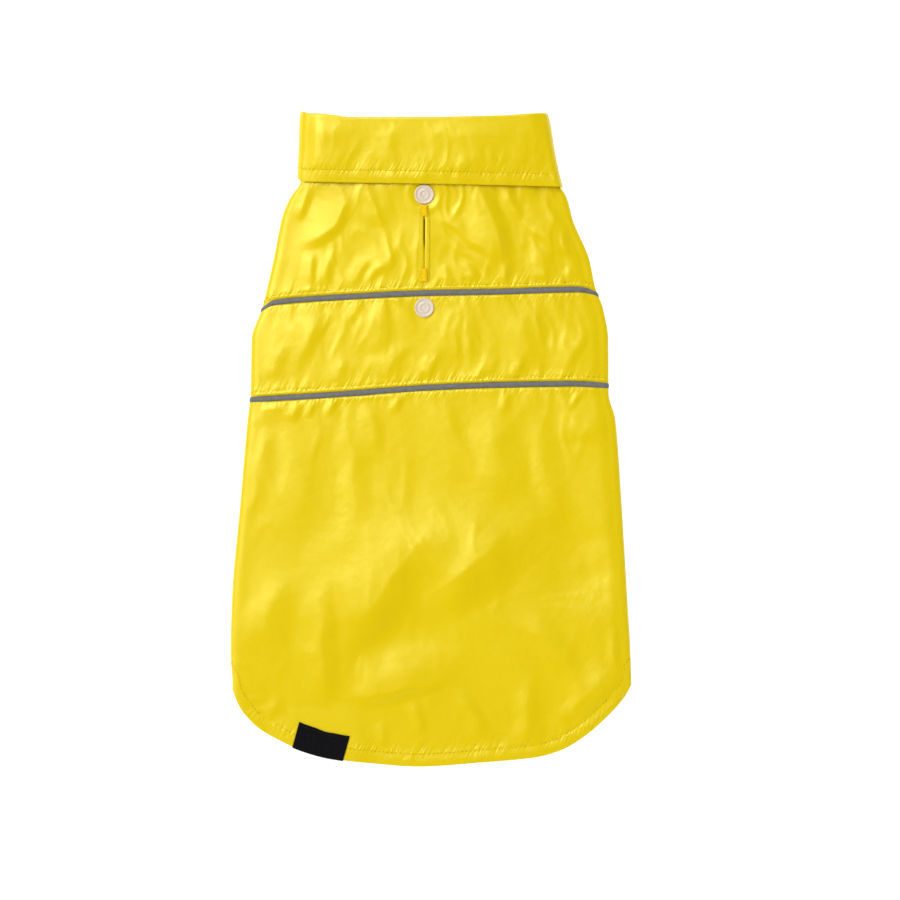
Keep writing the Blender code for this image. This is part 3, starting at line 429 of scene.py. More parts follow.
class Socket:
    """An output in a material's nodes. Arithmetic on it adds the Math nodes that work it out."""

    def __init__(self, tree, socket):
        self.tree = tree
        self.socket = socket

    def node(self, kind, settings, inputs, output=0):
        """Adds another kind of node, its settings first, and gives one of its outputs."""
        added = self.tree.nodes.new("ShaderNode" + kind)
        for name, value in settings.items():
            if name == "stops":
                while len(added.color_ramp.elements) < len(value):
                    added.color_ramp.elements.new(1.0)
                for stop, (place, colour) in zip(added.color_ramp.elements, value):
                    stop.position = place
                    stop.color = colour
            else:
                setattr(added, name, value)
        for name, value in inputs.items():
            if isinstance(value, Socket):
                self.tree.links.new(value.socket, added.inputs[name])
            else:
                added.inputs[name].default_value = value
        return Socket(self.tree, added.outputs[output])

    def math(self, operation, *values):
        return self.node("Math", {"operation": operation}, dict(enumerate((self,) + values)))

    def __add__(self, other):
        return self.math("ADD", other)

    __radd__ = __add__

    def __sub__(self, other):
        return self.math("SUBTRACT", other)

    def __rsub__(self, other):
        return self.node("Math", {"operation": "SUBTRACT"}, {0: other, 1: self})

    def __mul__(self, other):
        return self.math("MULTIPLY", other)

    __rmul__ = __mul__


def new_finish(name, **constants):
    """A material, its shader with these constants set, and the place of each point of it."""
    material = bpy.data.materials.new(name)
    material.use_nodes = True
    tree = material.node_tree
    shader = tree.nodes["Principled BSDF"]
    for value_name, value in constants.items():
        shader.inputs[value_name.replace("_", " ")].default_value = value
    coordinates = tree.nodes.new("ShaderNodeTexCoord")
    return material, shader, Socket(tree, coordinates.outputs["Object"])


def feed(shader, **values):
    """Links the values that change over a surface to their inputs on its shader."""
    for name, value in values.items():
        value.tree.links.new(value.socket, shader.inputs[name.replace("_", " ")])


def mixed(first, second, share):
    """A colour between two, which are colours or sockets."""
    return share.node("Mix", {"data_type": "RGBA"}, {0: share, 6: first, 7: second}, output=2)


def mottled(place, scale, detail):
    """An uneven shade over a surface, from 0 to 1, with this many patches to a metre."""
    return place.node("TexNoise", {}, {"Vector": place, "Scale": scale, "Detail": detail})


def parts_of(vector):
    """The x and the y of a vector."""
    return [vector.node("SeparateXYZ", {}, {0: vector}, output=axis) for axis in (0, 1)]


def bumped(height, strength=1.0):
    """The slope that a height in mm gives a surface."""
    return height.node("Bump", {}, {"Strength": strength, "Distance": MM, "Height": height})


SUN_YELLOW = (0.77, 0.577, 0.0008, 1.0)
DEEP_YELLOW = (0.73, 0.528, 0.0003, 1.0)
YELLOW_SHEEN = (1.0, 1.0, 0.36, 1.0)
THREAD_PITCH = 0.00042  # of the weave, in metres


def rain_cloth(name, from_top=None, from_bottom=None):
    """Satiny coated taffeta: a fine plain weave under a soft film, with shallow handling creases.

    Tiny tucks slant across the rows of stitches, this many mm from the sheet's first and last row.
    """
    material, shader, place = new_finish(name, IOR=2.0, Specular_Tint=YELLOW_SHEEN)
    flat = place.node("TexCoord", {}, {}, output="UV")
    across, down = parts_of(flat)
    warp = (across * (math.pi / THREAD_PITCH)).math("SINE")
    weft = (down * (math.pi / THREAD_PITCH)).math("SINE")
    clouds = mottled(flat, 14.0, 3.0)
    creases = mottled(flat, 170.0, 3.0)
    long_weft = flat.node("VectorMath", {"operation": "MULTIPLY"}, {0: flat, 1: (0.1, 1.0, 1.0)})
    slubs = mottled(long_weft, 1400.0, 2.0)
    dye = clouds * 0.7 + slubs * 0.5 - 0.1
    height = warp * weft * 0.012 + creases * 0.16 + slubs * 0.03
    slanted = flat.node("CombineXYZ", {}, {0: across - down * 0.5, 1: down * 0.22, 2: 0.0})
    valleys = ((mottled(slanted, 330.0, 1.0) - 0.5).math("ABSOLUTE") * 5.0).math("MINIMUM", 1.0)
    edges = flat.node("Attribute", {"attribute_name": "edges"}, {}, output="Vector")
    for from_edge, line in zip(parts_of(edges), (from_top, from_bottom)):
        if line is not None:
            fade = ((from_edge - line).math("ABSOLUTE") * -0.3).math("EXPONENT")
            height = height + (1.0 - valleys) * fade * 0.22
    feed(
        shader,
        Base_Color=mixed(DEEP_YELLOW, SUN_YELLOW, dye.math("MINIMUM", 1.0)),
        Roughness=0.32 + creases * 0.08,
        Normal=bumped(height),
    )
    return material


def share_on_top(c):
    """1 for columns on top, 0 for those on the underside, and between the two round the folds."""
    return ease(np.minimum(c, 5.0 - c) - 1.0)


def kept_off(c, gap):
    """How far a panel's edge stays from its seam's middle, if that is this gap on top."""
    # On the underside the pipings are pressed flat and the panels only reach their edges.
    return blend(PIPING_HALF + 0.2, gap, share_on_top(c))


def panel_points(top, bottom, top_gap, on_top, rows, height):
    """The points of a panel between two seams, the lower of which is a piping's."""
    c = columns(on_top)
    start = crossing(top, c) - kept_off(c, top_gap)
    end = crossing(bottom, c) + kept_off(c, PIPING_LAP)
    down = np.linspace(0.0, 1.0, rows + 1)[:, None]
    down = blend(down, ease(down), 0.25)
    y = blend(start[None], end[None], down)
    return round_the_coat(np.broadcast_to(c, y.shape), y, height)


neck_points = panel_points(neck_seam, upper_seam, 0.3, 187, 78, neck_height)
neck_panel = laid_grid("neck_panel_cloth", neck_points)
# The slit is open between its two ends: the points of the middle column go.
bpy.ops.object.mode_set(mode="EDIT")
bpy.ops.mesh.select_mode(type="VERT")
bpy.ops.mesh.select_all(action="DESELECT")
bpy.ops.object.mode_set(mode="OBJECT")
for vertex in neck_panel.data.vertices:
    x, y, z = vertex.co / MM
    on_top = z > 3.0
    vertex.select = on_top and abs(x - CENTRE_X) < 0.3 and abs(y - SLIT_MIDDLE_Y) < SLIT_HALF
bpy.ops.object.mode_set(mode="EDIT")
bpy.ops.mesh.delete(type="VERT")
bpy.ops.object.mode_set(mode="OBJECT")
thicken(neck_panel)
neck_panel.data.materials.append(rain_cloth("neck_cloth", from_top=9.0, from_bottom=3.2))
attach(neck_panel, "root")
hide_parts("neck_panel")

# ------------------------------------------------------------------------------------------------
# Middle panel: the band between the two pipings, of the same coated taffeta. Its upper edge is
# gathered into the upper piping and its lower edge is topstitched over the lower one.
# ------------------------------------------------------------------------------------------------

LOWER_SNAP_Y = 78.8
LOWER_SEAM = [
    Spot(-108.4, 23.8),
    Spot(-50.0, 27.4),
    Spot(-4.0, 30.9),
    Spot(42.0, 32.7),
    Spot(88.0, 33.4),
    Spot(107.5, 32.3),
]
MIDDLE_FOLDS = [
    # Long folds that hang from the upper piping.
    Fold(-81.0, 35.0, -74.0, 59.0, -57.0, 85.0, 34.0, 8.0, 1.1, 0.5),
    Fold(-52.0, 68.0, -46.0, 77.0, -39.0, 86.0, 7.5, 4.0, 0.54, 0.6),
    Fold(-33.0, 50.0, -31.0, 66.0, -29.0, 86.0, 16.2, 9.0, 0.95, 0.3),
    Fold(15.0, 45.0, 16.0, 60.0, 17.0, 83.0, 18.8, 4.0, 0.82, 0.6),
    Fold(25.5, 41.0, 23.0, 58.0, 21.0, 84.0, 5.0, 7.0, 0.68, 0.6),
    Fold(56.0, 39.0, 57.0, 58.0, 56.0, 81.0, 16.2, 14.0, 0.88, 0.2),
    # At the right fold.
    Fold(85.0, 53.0, 76.0, 66.0, 67.0, 80.0, 9.0, 6.0, -0.4, 0.3),
    Fold(77.0, 41.0, 85.0, 54.0, 94.0, 69.0, 16.0, 5.5, 0.85, 0.6),
    # At the left fold.
    Fold(-97.0, 34.0, -93.0, 46.0, -87.0, 62.0, 11.2, 7.0, 0.68, 0.4),
    # Rooted at the lower piping.
    Fold(-28.0, 33.0, -21.5, 46.0, -12.0, 61.0, 14.0, 6.0, 0.7, 0.5),
    Fold(-4.0, 34.0, 1.0, 42.0, 6.0, 52.0, 8.8, 4.0, 0.68, 0.6),
    Fold(33.0, 35.0, 35.5, 42.0, 39.0, 53.0, 7.5, 4.0, 0.48, 0.5),
    Fold(50.0, 34.0, 53.0, 42.0, 56.0, 53.0, 7.5, 4.0, 0.61, 0.5),
    Fold(-58.0, 32.0, -55.0, 41.0, -50.0, 51.0, 8.8, 6.0, 0.48, 0.4),
]
lower_seam = Seam(curve(LOWER_SEAM, "x", "y"), curve(PIPING_TURN, "inset", "rise"))


def gathered(x, away, pitch, reach, height, seed):
    """The wedges of cloth that are caught into the underside of a piping."""
    clear = np.maximum(away - PIPING_HALF, 0.0)
    return puckers(x, clear, pitch, reach, height, seed) * ease((away - 1.2) / 2.0)


def middle_height(x, y):
    """The height of the middle panel's outer face."""
    below = upper_seam.line(x) - y
    above = y - lower_seam.line(x)
    loose = ease((below - 1.5) / 5.0) * ease((above - 3.0) / 7.0)
    relief = folded(MIDDLE_FOLDS, x, y) * loose + topstitched(x, above, (22, 23))
    relief += gathered(x, below, 5.0, 11.0, 0.9, 21)
    relief += (0.4 * crumple(x, 0.6 * y, 19.0, 2.5) + 0.3 * crinkle(x, y, 9.0, 22.0, 2.9)) * loose
    from_snap = np.hypot(x - CENTRE_X, y - LOWER_SNAP_Y)
    relief = blend(relief, -0.1, ease((SNAP_HOLLOW - from_snap) / 3.5))
    return raised(x, y, relief + tucked(below) + tucked(above))


middle_points = panel_points(upper_seam, lower_seam, PIPING_LAP, 209, 64, middle_height)
middle_panel = laid_grid("middle_panel_cloth", middle_points)
thicken(middle_panel)
middle_panel.data.materials.append(rain_cloth("middle_cloth", from_top=1.0, from_bottom=3.2))
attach(middle_panel, "root")
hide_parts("middle_panel")

# ------------------------------------------------------------------------------------------------
# Lower back: the largest panel, from the lower piping to the rounded tail, of the same taffeta.
# It lies loose, with one big slack crease like two peaks. Its hem is turned under and stitched.
# ------------------------------------------------------------------------------------------------

HEM_WIDTH = 7.5  # from the hem's edge to its line of stitches
LABEL_MIDDLE = Spot(-67.5, -181.0)
HEM = [
    Spot(-118.9, -150.2),
    Spot(-116.8, -156.0),
    Spot(-112.0, -164.0),
    Spot(-102.6, -173.4),
    Spot(-90.6, -180.2),
    Spot(-78.6, -185.8),
    Spot(-60.6, -190.8),
    Spot(-36.0, -194.0),
    Spot(-8.0, -196.0),
    Spot(30.0, -193.6),
    Spot(62.0, -190.6),
    Spot(77.4, -186.4),
    Spot(92.0, -177.8),
    Spot(107.4, -164.0),
    Spot(117.0, -152.6),
    Spot(120.0, -147.4),
]
HEM_TURN = [Turn(0.0, 0.0), Turn(4.0, 7.0), Turn(12.0, 17.0), Turn(26.0, 28.0)]
BACK_FOLDS = [
    # The big slack crease: its two peaks, the valley to its right and the ridge that lies below.
    Fold(-57.0, -133.0, -26.0, -87.0, 10.0, -38.0, 54.0, 23.0, 3.7, 0.6),
    Fold(-8.0, -94.0, 24.0, -76.0, 55.0, -44.0, 52.0, 25.0, 4.1, 0.5),
    Fold(98.0, -110.0, 93.0, -72.0, 64.0, -38.0, 42.0, 24.0, -2.6, 0.4),
    Fold(-54.0, -150.0, -25.0, -152.5, 18.0, -137.0, 38.0, 7.5, 1.9, 0.4),
    Fold(-56.0, -132.0, -20.0, -122.0, 30.0, -110.0, 22.0, 22.0, -1.4, 0.0),
    # Long ridges that hang from the lower piping.
    Fold(-44.0, -66.0, -47.5, -20.0, -47.0, 20.0, 12.0, 14.0, 1.1, 0.4),
    Fold(28.0, -38.0, 16.0, 0.0, 5.0, 25.0, 22.0, 9.0, 0.9, 0.4),
    Fold(45.0, -46.0, 39.0, -12.0, 32.0, 25.0, 20.0, 20.0, 1.5, 0.2),
    Fold(78.0, -54.0, 69.5, -20.0, 60.0, 24.0, 11.0, 12.0, 0.8, 0.3),
    Fold(-34.0, -14.0, -35.0, 6.0, -33.0, 26.0, 11.0, 8.0, 0.8, 0.4),
    Fold(-84.0, -66.0, -80.0, -24.0, -72.0, 20.0, 22.0, 18.0, 0.9, 0.1),
    # Down the left side.
    Fold(-62.0, -168.0, -64.5, -125.0, -69.0, -80.0, 17.0, 10.0, 1.8, 0.5),
    Fold(-108.0, -134.0, -97.0, -104.0, -84.0, -72.0, 20.0, 18.0, 1.4, 0.3),
    Fold(-107.0, -54.0, -104.0, -14.0, -98.0, 14.0, 7.0, 15.0, 1.0, 0.3),
    Fold(-106.0, 20.0, -97.0, 18.0, -84.0, 15.0, 7.0, 12.0, 1.2, 0.4),
    # Down the right side.
    Fold(76.0, 12.0, 92.0, 7.0, 114.0, 3.0, 18.0, 12.0, 0.9, 0.2),
    Fold(88.0, -152.0, 74.0, -124.0, 50.0, -97.0, 13.0, 12.0, 1.4, 0.3),
    Fold(112.0, -142.0, 110.0, -126.0, 108.0, -110.0, 5.0, 3.5, 0.8, 0.6),
    Fold(80.0, -158.0, 97.0, -152.0, 116.0, -138.0, 26.0, 19.0, 2.1, 0.2),
    # Drawn up by the hem's stitches.
    Fold(57.0, -188.0, 58.5, -166.0, 55.0, -130.0, 12.0, 12.0, 1.5, 0.4),
    Fold(32.0, -182.0, 26.0, -166.0, 15.0, -146.0, 7.0, 7.0, 1.0, 0.4),
    Fold(-7.0, -178.0, -8.0, -166.0, -12.0, -152.0, 6.0, 5.0, 0.8, 0.5),
    Fold(77.0, -170.0, 84.0, -162.0, 92.0, -152.0, 7.0, 5.0, 0.8, 0.5),
    Fold(-30.0, -188.0, -29.0, -178.0, -30.0, -166.0, 7.0, 6.0, 0.6, 0.4),
    Fold(-100.0, -170.0, -96.0, -162.0, -90.0, -153.0, 7.0, 6.0, 0.4, 0.4),
    # Gathers at the lower piping.
    Fold(-84.0, 10.0, -82.0, 18.0, -78.0, 27.0, 5.0, 4.0, 0.9, 0.6),
    Fold(-75.0, 13.0, -73.0, 20.0, -70.0, 28.0, 4.0, 3.5, 0.8, 0.6),
    Fold(-63.0, 12.0, -61.0, 20.0, -58.0, 28.0, 4.0, 4.0, 0.8, 0.6),
    Fold(-22.0, 14.0, -19.0, 22.0, -15.0, 31.0, 5.0, 4.0, 0.7, 0.5),
    Fold(44.0, 14.0, 45.0, 23.0, 47.0, 33.0, 5.0, 5.0, 0.7, 0.5),
    Fold(84.0, 16.0, 86.0, 24.0, 90.0, 33.0, 4.0, 4.0, 0.8, 0.5),
]
hem = Seam(curve(HEM, "x", "y"), curve(HEM_TURN, "inset", "rise"))
hem_x = np.linspace(HEM[0].x, HEM[-1].x, 241)
hem_y = hem.line(hem_x)
hem_run = np.concatenate(([0.0], np.hypot(np.diff(hem_x), np.diff(hem_y)).cumsum()))
hem_heading = np.arctan2(np.gradient(hem_y), np.gradient(hem_x))


def from_hem(x, y):
    """How far in from the hem's edge each point is, and how far along the hem, to 60 mm in."""
    away = np.full(x.shape, 60.0)
    along = np.interp(x, hem_x, hem_run)
    near = y < hem.line(x) + 60.0
    off_x, off_y = x[near][:, None] - hem_x, y[near][:, None] - hem_y
    closest = np.argmin(off_x**2 + off_y**2, axis=1)
    rows = np.arange(len(closest))
    off_x, off_y = off_x[rows, closest], off_y[rows, closest]
    way_x, way_y = np.cos(hem_heading[closest]), np.sin(hem_heading[closest])
    away[near] = np.clip(off_y * way_x - off_x * way_y, 0.0, 60.0)
    along[near] = hem_run[closest] + off_x * way_x + off_y * way_y
    return away, along


def hemmed(away, along, seed):
    """A turned and stitched hem: a soft roll at its edge, and a groove with slanting tucks."""
    lift = 0.25 * np.exp(-(((away - 3.6) / 2.2) ** 2))
    lift -= 0.25 * np.exp(-(((away - HEM_WIDTH) / 0.7) ** 2))
    off = np.abs(away - HEM_WIDTH)
    slant = along - 0.45 * (away - HEM_WIDTH)
    lift += puckers(slant, off, 6.0, 8.0, 0.5, seed) * ease((away + 0.4) / 2.0)
    return lift + puckers(slant, off, 2.6, 3.5, 0.2, seed + 100)


def back_height(x, y):
    """The height of the lower back's outer face."""
    below = lower_seam.line(x) - y
    away, along = from_hem(x, y)
    loose = ease((below - 1.5) / 5.0) * ease((away - 3.0) / 9.0)
    relief = folded(BACK_FOLDS, x, y) * loose
    relief += gathered(x, below, 5.0, 9.0, 0.7, 31) + gathered(x, below, 3.2, 6.0, 0.5, 33)
    crisp = blend(0.25, 0.38, ease(1.0 - below / 70.0)) * crinkle(x, y, 13.0, 30.0, 5.7)
    relief += (0.5 * crumple(x, 0.5 * y, 26.0, 3.5) + crisp) * loose
    relief += hemmed(away, along, 32) * ease((22.0 - away) / 6.0) + tucked(below)
    height = raised(x, y, relief)
    # The hem lies over the label's folded end, so it is raised there.
    from_label = np.hypot(x - LABEL_MIDDLE.x, y - LABEL_MIDDLE.y)
    return blend(height, np.maximum(height, 2.5), ease((38.0 - from_label) / 16.0))


def laid_out_x(c, y):
    """The x of each column of the coat on top, and past its folds as if they were opened flat."""
    way, c, fold, side_seam = side_of(c, y)
    radius = fold_radius(y)
    centre = fold - way * radius
    half_turn = 0.5 * np.pi * radius
    turned = centre + way * half_turn * (2.0 - c)
    under = centre + way * (half_turn + np.abs(centre - side_seam) * (1.0 - c))
    return np.where(c >= 2.0, across_top(centre, c), np.where(c >= 1.0, turned, under))


def leaning(c, y, least=0.0):
    """How much more a width across a sloping edge takes up along y: 1 to 2.5 times as much."""
    step = np.abs(np.gradient(laid_out_x(c, y)))
    return np.clip(np.hypot(1.0, np.gradient(y) / np.maximum(step, least)), 1.0, 2.5)


def with_turned_hem(c, start, edge, rows, height):
    """The points of a sheet whose lower edge is rolled under and carried back up inside it."""
    lean = leaning(c, edge, 0.3)
    down = np.linspace(0.0, 1.0, rows + 1)
    down = blend(down, ease(down), 0.15)[:, None]
    y = blend(start[None], (edge + 0.5 * lean)[None], down)
    angle = np.linspace(0.0, np.pi, 9)[1:, None]
    roll_y = edge + lean * (0.5 - 0.5 * np.sin(angle))
    roll_depth = np.broadcast_to(0.5 - 0.5 * np.cos(angle), roll_y.shape)
    back_y = edge + lean * np.linspace(0.5, HEM_WIDTH + 2.0, 9)[1:, None]
    depth = np.concatenate((np.zeros_like(y), roll_depth, np.ones_like(back_y)))
    y = np.concatenate((y, roll_y, back_y))
    return round_the_coat(np.broadcast_to(c, y.shape), y, height, depth)


back_columns = columns(169)
back_top = crossing(lower_seam, back_columns) - kept_off(back_columns, PIPING_LAP)
back_points = with_turned_hem(back_columns, back_top, crossing(hem, back_columns), 190, back_height)
back_panel = laid_grid("back_panel_cloth", back_points)
thicken(back_panel)
back_panel.data.materials.append(rain_cloth("back_cloth", from_top=1.0, from_bottom=18.6))
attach(back_panel, "root")
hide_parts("back_panel")

# ------------------------------------------------------------------------------------------------
# Belly panel: the plain panel that closes the coat below, between the two side seams. It is of
# the same taffeta, with two oval leg holes and a short curved hem, and lies flat on the surface.
# ------------------------------------------------------------------------------------------------

LEG_HOLE_WIDTH = 42.0
LEG_HOLE_LENGTH = 60.0
LEG_HOLE_OUT = 40.0  # from the belly's middle to the middle of a leg hole
LEG_HOLE_Y = 92.0
LEG_HOLE_HEM = 4.0
BELLY_WIDTH = 170.0  # about, between its side seams
BELLY_END_Y = -121.0
BELLY_HEM_RISE = 27.0

belly_share = np.linspace(0.0, 1.0, 111)
belly_edge = BELLY_END_Y + BELLY_HEM_RISE * np.sin(np.pi * belly_share)
belly_down = np.linspace(0.0, 1.0, 141)[:, None]
belly_y = blend(NECK_SEAM_Y - 0.3, belly_edge[None], belly_down)
belly_in = HEM_WIDTH * np.linspace(0.0, 1.0, 8)[:, None]
belly_y = np.concatenate((belly_y, belly_edge[None] + 0.2, belly_edge + belly_in))
belly_depth = np.concatenate((np.zeros(len(belly_down)), [0.5], np.ones(len(belly_in))))[:, None]
belly_x = blend(right_side_seam(belly_y) - 0.3, left_side_seam(belly_y) + 0.3, belly_share)
belly_from_side = np.minimum(belly_share, 1.0 - belly_share) * BELLY_WIDTH
belly_lift = 0.35 * np.abs(crumple(belly_x, belly_y, 22.0, 5.5)) * ease(belly_from_side / 10.0)
belly_lift += 0.5 * np.exp(-((belly_from_side / 0.8) ** 2))
for way in (-1, 1):
    off_x, off_y = belly_x - way * LEG_HOLE_OUT, belly_y - LEG_HOLE_Y
    ring = np.hypot(off_x / (0.5 * LEG_HOLE_WIDTH), off_y / (0.5 * LEG_HOLE_LENGTH))
    belly_lift *= ease((ring - 1.0) / 0.4)
    # A stitched groove runs round the hole.
    off_hole = np.hypot(off_x, off_y) * (1.0 - 1.0 / np.maximum(ring, 0.1))
    belly_lift = np.maximum(belly_lift, 0.45 * np.exp(-(((off_hole - LEG_HOLE_HEM) / 1.6) ** 2)))
# Another runs along the hem.
off_hem = belly_y - belly_edge - HEM_WIDTH
belly_lift = np.maximum(belly_lift, 0.45 * np.exp(-((off_hem / 1.6) ** 2)) * (belly_depth == 0.0))
belly_z = under_height(belly_y) + belly_depth + belly_lift
belly_points = np.stack((belly_x, belly_y, belly_z), axis=-1)
belly_panel = laid_grid("belly_panel_cloth", belly_points)
# The leg holes are cut out, and what is left round them is drawn onto their ovals.
built = bmesh.new()
built.from_mesh(belly_panel.data)
for way in (-1, 1):
    gone = []
    for vertex in built.verts:
        x = (vertex.co.x / MM - way * LEG_HOLE_OUT) / (0.5 * LEG_HOLE_WIDTH)
        y = (vertex.co.y / MM - LEG_HOLE_Y) / (0.5 * LEG_HOLE_LENGTH)
        if math.hypot(x, y) < 0.97:
            gone.append(vertex)
    rim = {edge.other_vert(vertex) for vertex in gone for edge in vertex.link_edges} - set(gone)
    rim |= {v for vertex in gone for face in vertex.link_faces for v in face.verts} - set(gone)
    bmesh.ops.delete(built, geom=gone, context="VERTS")
    for vertex in rim:
        x = vertex.co.x / MM - way * LEG_HOLE_OUT
        y = vertex.co.y / MM - LEG_HOLE_Y
        out = math.hypot(x / (0.5 * LEG_HOLE_WIDTH), y / (0.5 * LEG_HOLE_LENGTH))
        vertex.co.x = (way * LEG_HOLE_OUT + x / out) * MM
        vertex.co.y = (LEG_HOLE_Y + y / out) * MM
built.to_mesh(belly_panel.data)
built.free()
thicken(belly_panel)
belly_panel.data.materials.append(rain_cloth("belly_cloth", from_bottom=15.0))
belly_cut, belly_area = cut_of(belly_points)
belly_area -= 2 * math.pi * 0.25 * LEG_HOLE_WIDTH * LEG_HOLE_LENGTH * MM**2
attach(belly_panel, "root")
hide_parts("belly_panel")

# ------------------------------------------------------------------------------------------------
# Collar: a stand that rises from the neck seam and a fall that turns down over it, in one band
# of taffeta all round the neck. Its lower edge has the same turned and stitched hem.
# ------------------------------------------------------------------------------------------------

NECK_MID_Z = 4.7
FALL_RADIUS = 4.7  # half the height of the flattened collar, over its outer turn
STAND_RADIUS = 2.6  # the same on the inner face of its stand
STAND_ROWS = 8
CREST_ROWS = 10
FALL_ROWS = 41

CollarSide = namedtuple("CollarSide", "y left right")
COLLAR_SIDES = [
    CollarSide(150.5, -79.8, 79.0),
    CollarSide(159.0, -79.8, 76.8),
    CollarSide(174.0, -79.2, 73.8),
    CollarSide(190.0, -78.7, 71.2),
    CollarSide(196.0, -78.0, 69.6),
]
COLLAR_CREST = [
    Spot(-78.0, 196.0),
    Spot(-72.6, 194.4),
    Spot(-60.0, 193.6),
    Spot(-48.6, 192.2),
    Spot(0.0, 192.2),
    Spot(24.0, 192.7),
    Spot(47.0, 193.4),
    Spot(60.0, 194.3),
    Spot(69.6, 195.0),
]
COLLAR_CREST_UNDER = [
    Spot(-78.0, 196.0),
    Spot(-64.0, 195.4),
    Spot(-52.0, 192.6),
    Spot(0.0, 190.6),
    Spot(46.0, 192.6),
    Spot(60.0, 195.0),
    Spot(69.6, 195.0),
]
COLLAR_EDGE = [Spot(-79.8, 155.6), Spot(-74.4, 153.7), Spot(-4.0, 152.4), Spot(79.0, 150.9)]
COLLAR_FOLDS = [
    Fold(-74.0, 150.0, -69.0, 176.0, -64.0, 206.0, 12.0, 32.0, 2.4, 0.3),
    Fold(-61.0, 160.0, -54.0, 168.0, -47.0, 182.0, 6.0, 4.0, 0.5, 0.5),
    Fold(-53.0, 158.0, -47.0, 169.0, -40.0, 184.0, 6.0, 4.0, 0.7, 0.6),
    Fold(-40.0, 157.0, -36.0, 166.0, -32.0, 178.0, 6.0, 4.0, 0.5, 0.5),
    Fold(-27.0, 158.0, -26.0, 175.0, -22.0, 198.0, 11.0, 9.0, 0.8, 0.5),
    Fold(-31.0, 200.0, -28.0, 191.0, -25.0, 184.0, 4.0, 4.0, -1.1, 0.7),
    Fold(20.0, 150.0, 19.0, 174.0, 16.0, 204.0, 30.0, 54.0, 2.8, 0.2),
    Fold(36.0, 158.0, 37.0, 166.0, 38.0, 176.0, 5.0, 5.0, 0.5, 0.5),
    Fold(52.0, 160.0, 55.0, 176.0, 58.0, 198.0, 9.0, 7.0, 0.6, 0.5),
    Fold(8.0, 156.0, 9.0, 162.0, 11.0, 170.0, 5.0, 4.0, 0.5, 0.5),
]
collar_left = curve(COLLAR_SIDES, "y", "left")
collar_right = curve(COLLAR_SIDES, "y", "right")
collar_crest = curve(COLLAR_CREST, "x", "y")
collar_crest_under = curve(COLLAR_CREST_UNDER, "x", "y")
collar_edge = curve(COLLAR_EDGE, "x", "y")


def collar_x(c, y, radius):
    """The x of a collar column, on the shell of this radius."""
    way = np.where(c < 2.5, -1.0, 1.0)
    c = np.minimum(c, 5.0 - c)
    centre = np.where(way < 0, collar_left(y) + FALL_RADIUS, collar_right(y) - FALL_RADIUS)
    inward = np.where(c >= 2.0, 2 * (c - 2.0), 1.0 - c)
    x = blend(centre, CENTRE_X, np.clip(inward, 0.0, 1.0))
    angle = np.pi * (np.clip(c, 1.0, 2.0) - 1.5)
    return x + way * radius * np.cos(angle)


collar_under = np.linspace(0.0, 1.0, 50, endpoint=False)
collar_round = np.linspace(1.0, 2.0, 14, endpoint=False)
collar_half = np.concatenate((collar_under, collar_round))
collar_c = np.concatenate((collar_half, np.linspace(2.0, 3.0, 171), 5.0 - collar_half[::-1]))
side_x = collar_x(collar_c, np.full_like(collar_c, 174.0), FALL_RADIUS)
crest_y = blend(collar_crest_under(side_x), collar_crest(side_x), share_on_top(collar_c))
edge_y = collar_edge(collar_x(collar_c, np.full_like(collar_c, 153.0), FALL_RADIUS))
turn = 0.5 * (FALL_RADIUS - STAND_RADIUS)
turn_y = crest_y - turn
# The band's rows: up the stand's inner face, over the crest, down the fall, round its edge and
# up inside it. Each has its y, its radius and how free its cloth is to fold.
collar_rows = []
for share in np.linspace(0.0, 1.0, STAND_ROWS, endpoint=False):
    collar_rows.append((blend(NECK_SEAM_Y, turn_y, share), STAND_RADIUS, 0.0))
for angle in np.linspace(math.pi, 0.0, CREST_ROWS + 1)[:-1]:
    bulge = 0.5 + 0.5 * math.cos(angle)
    radius = blend(STAND_RADIUS, FALL_RADIUS, bulge)
    collar_rows.append((turn_y + turn * math.sin(angle), radius, bulge))
for share in np.linspace(0.0, 1.0, FALL_ROWS):
    collar_rows.append((blend(turn_y, edge_y + 0.5, share), FALL_RADIUS, 1.0))
for angle in np.linspace(0.0, math.pi, 9)[1:]:
    roll = 0.5 - 0.5 * math.sin(angle)
    collar_rows.append((edge_y + roll, FALL_RADIUS - 0.5 + 0.5 * math.cos(angle), 1.0))
for share in np.linspace(0.0, 1.0, 7)[1:]:
    collar_rows.append((edge_y + blend(0.5, 9.0, share), FALL_RADIUS - 1.0, 1.0))
collar_grid = []
for row_y, radius, free in collar_rows:
    x = collar_x(collar_c, row_y, radius)
    away = np.maximum(row_y - edge_y, 0.0)
    relief = 0.5 * folded(COLLAR_FOLDS, x, row_y) * ease((away - 1.0) / 10.0)
    relief *= ease((42.0 - away) / 14.0)
    relief += hemmed(away, x, 41) * ease((20.0 - away) / 5.0)
    relief += 0.3 * crumple(x, 0.6 * row_y, 17.0, 6.5)
    relief += 0.3 * crinkle(x, row_y, 8.0, 18.0, 6.9) * ease((40.0 - away) / 8.0)
    # The fall stands a little off the panel under it and is bowed across like it.
    relief += 0.08 * away + 2.6 * bowed(x, collar_left(row_y), collar_right(row_y), 16.0)
    relief += blend(0.2, 1.2, ease((x + 80.0) / 120.0))
    angle = np.pi * (np.clip(np.minimum(collar_c, 5.0 - collar_c), 1.0, 2.0) - 1.5)
    inset = np.minimum(x - collar_left(row_y), collar_right(row_y) - x)
    held = blend(0.3, 1.0, ease(inset / 12.0)) * (0.5 + 0.5 * np.sin(angle))
    relief = np.maximum(relief, -0.9) * held * free
    z = NECK_MID_Z + radius * np.sin(angle) + relief
    collar_grid.append(np.stack((x, row_y, z), axis=-1))
collar_points = np.array(collar_grid)
collar = laid_grid("collar_cloth", collar_points)
thicken(collar)
